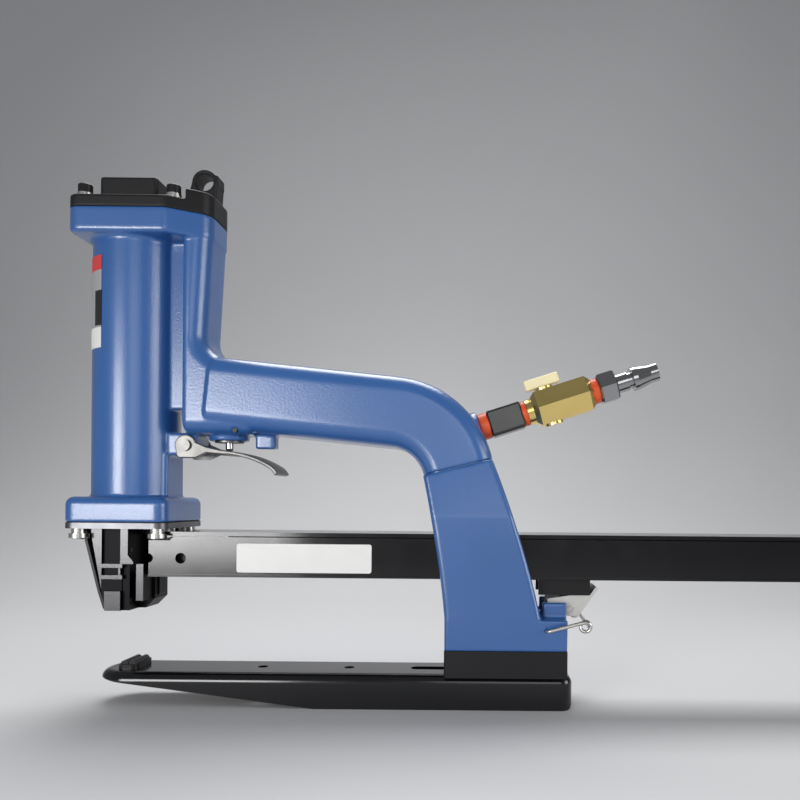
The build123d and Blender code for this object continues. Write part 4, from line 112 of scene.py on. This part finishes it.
# Nose ribs: depths below the outermost face at which the painted shade of the recesses ends and the painted
# sheen of the ribs is full, metres, and the steel colours with painted sheen on the ribs and painted shade
# between them
rib_depth = 0.0008
rib_lit_depth = 0.0002
lit_rib_steel = (0.060, 0.060, 0.062)
rib_rough = 0.24
shaded_recess_steel = (0.012, 0.012, 0.013)
matt_rough = 0.50
rib_grain_scale = 500.0
rib_grain_strength = 0.35
rib_grain_depth = 0.00008

# Softened edges, metres
cast_voxel = 0.0008
cap_voxel = 0.0004
cast_flow = 0.5
cast_rounds = 5
edge_bevel = 0.00025
gloss_bevel = 0.0005
bevel_steps = 3
edge_angle_deg = 40.0

# Sweep of the floor into the wall, metres
floor_z = cad_box[0][2]
floor_rough = 0.7
sweep_half = 5.0
sweep_front = -4.0
sweep_back = 0.40
sweep_r = 0.60
sweep_top = 2.6
sweep_steps = 24

# Studio light
world_strength = 0.26
light_target = Vector((-0.12, 0.0, 0.16))

quarter_turn = math.radians(90.0)

# Sockets of Blender's Mix node when it mixes colours
mix_share = 0
mix_first = 6
mix_second = 7
mix_result = 2


def opaque(colour):
    """A colour with full alpha."""
    return (*colour, 1.0)


def shade(colour, factor):
    """A lighter or darker shade of a colour."""
    return tuple(min(channel * factor, 1.0) for channel in colour)


class Shader:
    """A material being built: its nodes, its links and its Principled shader."""

    def __init__(self, name, colour, rough, metal=0.0, coat=0.0):
        self.material = bpy.data.materials.new(name)
        self.material.use_nodes = True
        self.material.diffuse_color = opaque(colour)
        self.nodes = self.material.node_tree.nodes
        self.links = self.material.node_tree.links
        self.main = self.nodes["Principled BSDF"]
        self.main.inputs["Base Color"].default_value = opaque(colour)
        self.main.inputs["Roughness"].default_value = rough
        self.main.inputs["Metallic"].default_value = metal
        self.main.inputs["Coat Weight"].default_value = coat
        self.main.inputs["Coat Roughness"].default_value = coat_rough
        self.place = self.nodes.new("ShaderNodeTexCoord").outputs["Object"]

    def put(self, source, socket):
        """Link a value to a socket, or write a plain number or colour into it."""
        if isinstance(source, bpy.types.NodeSocket):
            self.links.new(source, socket)
        else:
            socket.default_value = source

    def axes(self):
        """Object coordinates, one by one."""
        node = self.nodes.new("ShaderNodeSeparateXYZ")
        self.put(self.place, node.inputs["Vector"])
        return node.outputs

    def noise(self, scale, detail, stretch=(1.0, 1.0, 1.0)):
        """Noise from 0 to 1 over the object, whose coordinates are multiplied by stretch."""
        place = self.nodes.new("ShaderNodeVectorMath")
        place.operation = "MULTIPLY"
        self.put(self.place, place.inputs[0])
        self.put(stretch, place.inputs[1])
        node = self.nodes.new("ShaderNodeTexNoise")
        self.put(place.outputs["Vector"], node.inputs["Vector"])
        self.put(scale, node.inputs["Scale"])
        self.put(detail, node.inputs["Detail"])
        return node.outputs["Fac"]

    def calc(self, operation, *values):
        """Result of a sum or a comparison of values."""
        node = self.nodes.new("ShaderNodeMath")
        node.operation = operation
        for value, socket in zip(values, node.inputs):
            self.put(value, socket)
        return node.outputs["Value"]

    def mapped(self, value, start=0.0, end=1.0, low=0.0, high=1.0):
        """A value between start and end, mapped to the range low to high."""
        node = self.nodes.new("ShaderNodeMapRange")
        self.put(value, node.inputs["Value"])
        self.put(start, node.inputs["From Min"])
        self.put(end, node.inputs["From Max"])
        self.put(low, node.inputs["To Min"])
        self.put(high, node.inputs["To Max"])
        return node.outputs["Result"]

    def mixed(self, share, first, second):
        """Colour between two colours."""
        node = self.nodes.new("ShaderNodeMix")
        node.data_type = "RGBA"
        self.put(share, node.inputs[mix_share])
        self.put(first, node.inputs[mix_first])
        self.put(second, node.inputs[mix_second])
        return node.outputs[mix_result]

    def vary_colour(self, share, first, second):
        """Base colour between two colours."""
        self.put(self.mixed(share, opaque(first), opaque(second)), self.main.inputs["Base Color"])

    def vary_rough(self, share, low, high):
        """Roughness between low and high."""
        self.put(self.mapped(share, low=low, high=high), self.main.inputs["Roughness"])

    def bump(self, height, strength, depth):
        """Relief from a value."""
        node = self.nodes.new("ShaderNodeBump")
        self.put(height, node.inputs["Height"])
        self.put(strength, node.inputs["Strength"])
        self.put(depth, node.inputs["Distance"])
        self.put(node.outputs["Normal"], self.main.inputs["Normal"])
        self.put(node.outputs["Normal"], self.main.inputs["Coat Normal"])


def painted(name, colour, rough, peel_scale, peel_depth, coat=0.0, shine=0.5):
    """Paint with a fine skin texture and slightly uneven gloss."""
    paint = Shader(name, colour, rough, coat=coat)
    paint.main.inputs["Specular IOR Level"].default_value = shine
    paint.vary_colour(paint.noise(paint_shade_scale, shade_detail),
                      shade(colour, 1.0 - paint_wear), shade(colour, 1.0 + paint_wear))
    paint.vary_rough(paint.noise(paint_gloss_scale, gloss_detail),
                     rough - paint_gloss_swing, rough + paint_gloss_swing)
    paint.bump(paint.noise(peel_scale, grain_detail), paint_peel_strength, peel_depth)
    return paint.material


def ribbed(name, outer_y):
    """Black steel with a painted sheen, a lighter colour, on the ribs that stand out to outer_y, and painted
    shade, a darker colour with a matt finish, between them.
    """
    steel = Shader(name, shaded_recess_steel, matt_rough, metal=1.0)
    reach = steel.calc("ABSOLUTE", steel.axes()["Y"])
    # Colour follows depth: lighter on the ribs as painted sheen, darker in the recesses as painted shade
    rib_light_share = steel.mapped(reach, start=outer_y - rib_depth, end=outer_y - rib_lit_depth)
    steel.vary_colour(rib_light_share, shaded_recess_steel, lit_rib_steel)
    steel.vary_rough(rib_light_share, matt_rough, rib_rough)
    steel.bump(steel.noise(rib_grain_scale, grain_detail), rib_grain_strength, rib_grain_depth)
    return steel.material


def metal(name, colour, rough, stretch=(1.0, 1.0, 1.0), wear=plate_wear):
    """Bare or plated metal with a fine grain."""
    plate = Shader(name, colour, rough, metal=1.0)
    plate.vary_colour(plate.noise(plate_shade_scale, shade_detail),
                      shade(colour, 1.0 - wear), shade(colour, 1.0 + wear))
    plate.vary_rough(plate.noise(plate_gloss_scale, gloss_detail),
                     rough * plate_gloss_low, rough * plate_gloss_high)
    plate.bump(plate.noise(plate_grain_scale, grain_detail, stretch), plate_grain_strength, plate_grain_depth)
    return plate.material


def fine_grain(stock):
    """The fine surface of rubber, plastic and label stock."""
    stock.bump(stock.noise(stock_grain_scale, shade_detail), stock_grain_strength, stock_grain_depth)


def soft(name, colour, rough):
    """Rubber, plastic or label stock."""
    stock = Shader(name, colour, rough)
    stock.vary_colour(stock.noise(stock_shade_scale, shade_detail),
                      shade(colour, stock_shade_low), shade(colour, stock_shade_high))
    stock.vary_rough(stock.noise(stock_gloss_scale, shade_detail),
                     rough - stock_gloss_drop, rough + stock_gloss_rise)
    fine_grain(stock)
    return stock.material


def banded(name, low_z, high_z):
    """Label with plain colour bands from its foot to its top, and a dark strip along its near edge."""
    stock = Shader(name, label_grey, label_rough)
    axes = stock.axes()
    level = stock.mapped(axes["Z"], start=low_z, end=high_z)
    colour = opaque(label_white)
    for start, band in ((grey_from, label_grey), (red_from, label_red)):
        colour = stock.mixed(stock.calc("GREATER_THAN", level, start), colour, opaque(band))
    strip = stock.calc("LESS_THAN", axes["Y"], strip_edge_y)
    strip = stock.calc("MULTIPLY", strip, stock.calc("GREATER_THAN", level, strip_low))
    strip = stock.calc("MULTIPLY", strip, stock.calc("LESS_THAN", level, strip_high))
    stock.put(stock.mixed(strip, colour, opaque(rubber)), stock.main.inputs["Base Color"])
    fine_grain(stock)
    return stock.material


label_low, label_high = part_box("barrel_label")
finishes = {
    "blue_paint": painted("blue paint", blue, rough=0.34, peel_scale=760.0, peel_depth=0.00022, coat=0.8),
    "black_cap": painted("black cap paint", black, rough=0.42, peel_scale=700.0, peel_depth=0.0002,
                         shine=0.3),
    "black_steel": painted("black steel", black, rough=0.36, peel_scale=500.0, peel_depth=0.00008,
                           shine=0.28),
    "black_gloss": painted("black gloss paint", gloss_black, rough=0.14, peel_scale=300.0, peel_depth=0.00002,
                           coat=0.1),
    "black_coupling": painted("black oxide", black, rough=0.26, peel_scale=400.0, peel_depth=0.00005,
                              shine=0.8),
    "zinc": metal("zinc plate", zinc, rough=0.26),
    "chrome": metal("chrome plate", chrome, rough=0.13, wear=0.04),
    "satin": metal("satin plate", satin, rough=0.48),
    "dull_plate": metal("dull plate", dull_plate, rough=0.48),
    "brass": metal("machined brass", brass, rough=0.22, stretch=(1.0, 1.0, 6.0)),
    "dark_steel": metal("dark steel", dark_steel, rough=0.38),
    "bright_sleeve": metal("turned aluminium", bright_metal, rough=0.28),
    "cream": soft("cream enamel", cream, rough=0.30),
    "red_seal": soft("red seal", red_orange, rough=0.40),
    "dark_rubber": soft("dark rubber", rubber, rough=0.65),
    "blank_label": soft("blank label", label_white, rough=0.45),
    "seat_white": soft("white plastic", label_white, rough=0.40),
    "band_label": banded("band label", label_low[2], label_high[2]),
}
slot_of = {part["node"]: part["material_slot"] for part in frame["record"]["subparts"]}
# The joint between hand grip and leg is painted over
slot_of["leg_gasket"] = "blue_paint"
# Pressed levers are duller than the turned plug
slot_of["trigger"] = "dull_plate"
slot_of["trigger_pin"] = "dull_plate"
slot_of["latch_lever"] = "satin"
# Each piece of the nose has ribs of its own height, with painted sheen on them and painted shade between them
nose = ("nose_side_plates", "nose_front_guide", "nose_rear_guide")
for name in nose:
    slot_of[name] = name
    finishes[name] = ribbed(name + " steel", -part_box(name)[0][1])


def dress(obj, slot):
    """Give a piece the finish of a material slot."""
    obj.data.materials.clear()
    obj.data.materials.append(finishes[slot])


def soften_cast(obj, voxel):
    """Round the corners of a casting, inside and out, as sand and paint leave them."""
    skin = obj.modifiers.new("cast skin", "REMESH")
    skin.mode = "VOXEL"
    skin.voxel_size = voxel
    skin.use_smooth_shade = True
    flow = obj.modifiers.new("cast flow", "SMOOTH")
    flow.factor = cast_flow
    flow.iterations = cast_rounds


def soften_edges(obj, width):
    """Narrow bevel on the sharp edges, which catches the light."""
    edge = obj.modifiers.new("edge", "BEVEL")
    edge.width = width
    edge.segments = bevel_steps
    edge.limit_method = "ANGLE"
    edge.angle_limit = math.radians(edge_angle_deg)
    edge.harden_normals = True


castings = {"body_casting": cast_voxel, "leg_casting": cast_voxel, "top_cap": cap_voxel}
bevelled = ("black_steel", "black_gloss", "black_coupling", "zinc", "chrome", "satin", "dull_plate", "brass",
            "dark_steel", "cream", *nose)
bevel_of = {"magazine_channel": gloss_bevel, "magazine_top_rail": gloss_bevel}
for name, obj in nodes.items():
    dress(obj, slot_of[name])
    if name in castings:
        soften_cast(obj, castings[name])
    elif slot_of[name] in bevelled:
        soften_edges(obj, bevel_of.get(name, edge_bevel))


def backdrop():
    """Pale floor that curves up into a pale wall."""
    line = [(sweep_front, floor_z)]
    for step in range(sweep_steps + 1):
        turn = quarter_turn * step / sweep_steps
        line.append((sweep_back + sweep_r * math.sin(turn), floor_z + sweep_r * (1.0 - math.cos(turn))))
    line.append((sweep_back + sweep_r, sweep_top))
    points = [(side * sweep_half, y, z) for y, z in line for side in (-1, 1)]
    faces = [(2 * n, 2 * n + 1, 2 * n + 3, 2 * n + 2) for n in range(len(line) - 1)]
    mesh = bpy.data.meshes.new("backdrop")
    mesh.from_pydata(points, [], faces)
    for face in mesh.polygons:
        face.use_smooth = True
    mesh.materials.append(Shader("backdrop", floor_pale, floor_rough).material)
    sweep = bpy.data.objects.new("backdrop", mesh)
    bpy.context.collection.objects.link(sweep)
    return sweep


backdrop()

world = bpy.data.worlds.new("studio")
bpy.context.scene.world = world
world.use_nodes = True
sky = world.node_tree.nodes["Background"]
sky.inputs["Color"].default_value = opaque(world_pale)
sky.inputs["Strength"].default_value = world_strength


def softbox(name, place, width, height, power, spread_deg):
    """Soft light with a grid that narrows its beam, aimed at the middle of the tool."""
    data = bpy.data.lights.new(name, "AREA")
    data.shape = "RECTANGLE"
    data.size = width
    data.size_y = height
    data.energy = power
    data.spread = math.radians(spread_deg)
    lamp = bpy.data.objects.new(name, data)
    bpy.context.collection.objects.link(lamp)
    lamp.location = place
    lamp.rotation_euler = (light_target - Vector(place)).to_track_quat("-Z", "Y").to_euler()


softbox("key light", place=(-0.70, -1.14, 0.17), width=0.52, height=0.42, power=1.5, spread_deg=70.0)
softbox("front light", place=(0.14, -1.30, 0.40), width=0.60, height=0.56, power=0.50, spread_deg=90.0)
softbox("top light", place=(-0.15, 0.55, 1.50), width=1.20, height=0.80, power=6.0, spread_deg=100.0)
softbox("fill light", place=(1.25, -0.45, 0.40), width=0.80, height=0.70, power=1.7, spread_deg=80.0)

camera_data = bpy.data.cameras.new("photo camera")
camera_data.sensor_width = sensor_mm
camera_data.lens = sensor_mm * focal_px / image_px
camera_data.shift_x = (image_px / 2 - vanish_x_px) / image_px
camera_data.shift_y = (vanish_y_px - image_px / 2) / image_px
camera_data.clip_start = camera_near
camera = bpy.data.objects.new("photo camera", camera_data)
camera.location = camera_place
camera.rotation_euler = (quarter_turn, math.radians(-camera_roll_deg), 0.0)
bpy.context.collection.objects.link(camera)
bpy.context.scene.camera = camera
bpy.context.scene.view_settings.view_transform = "Standard"
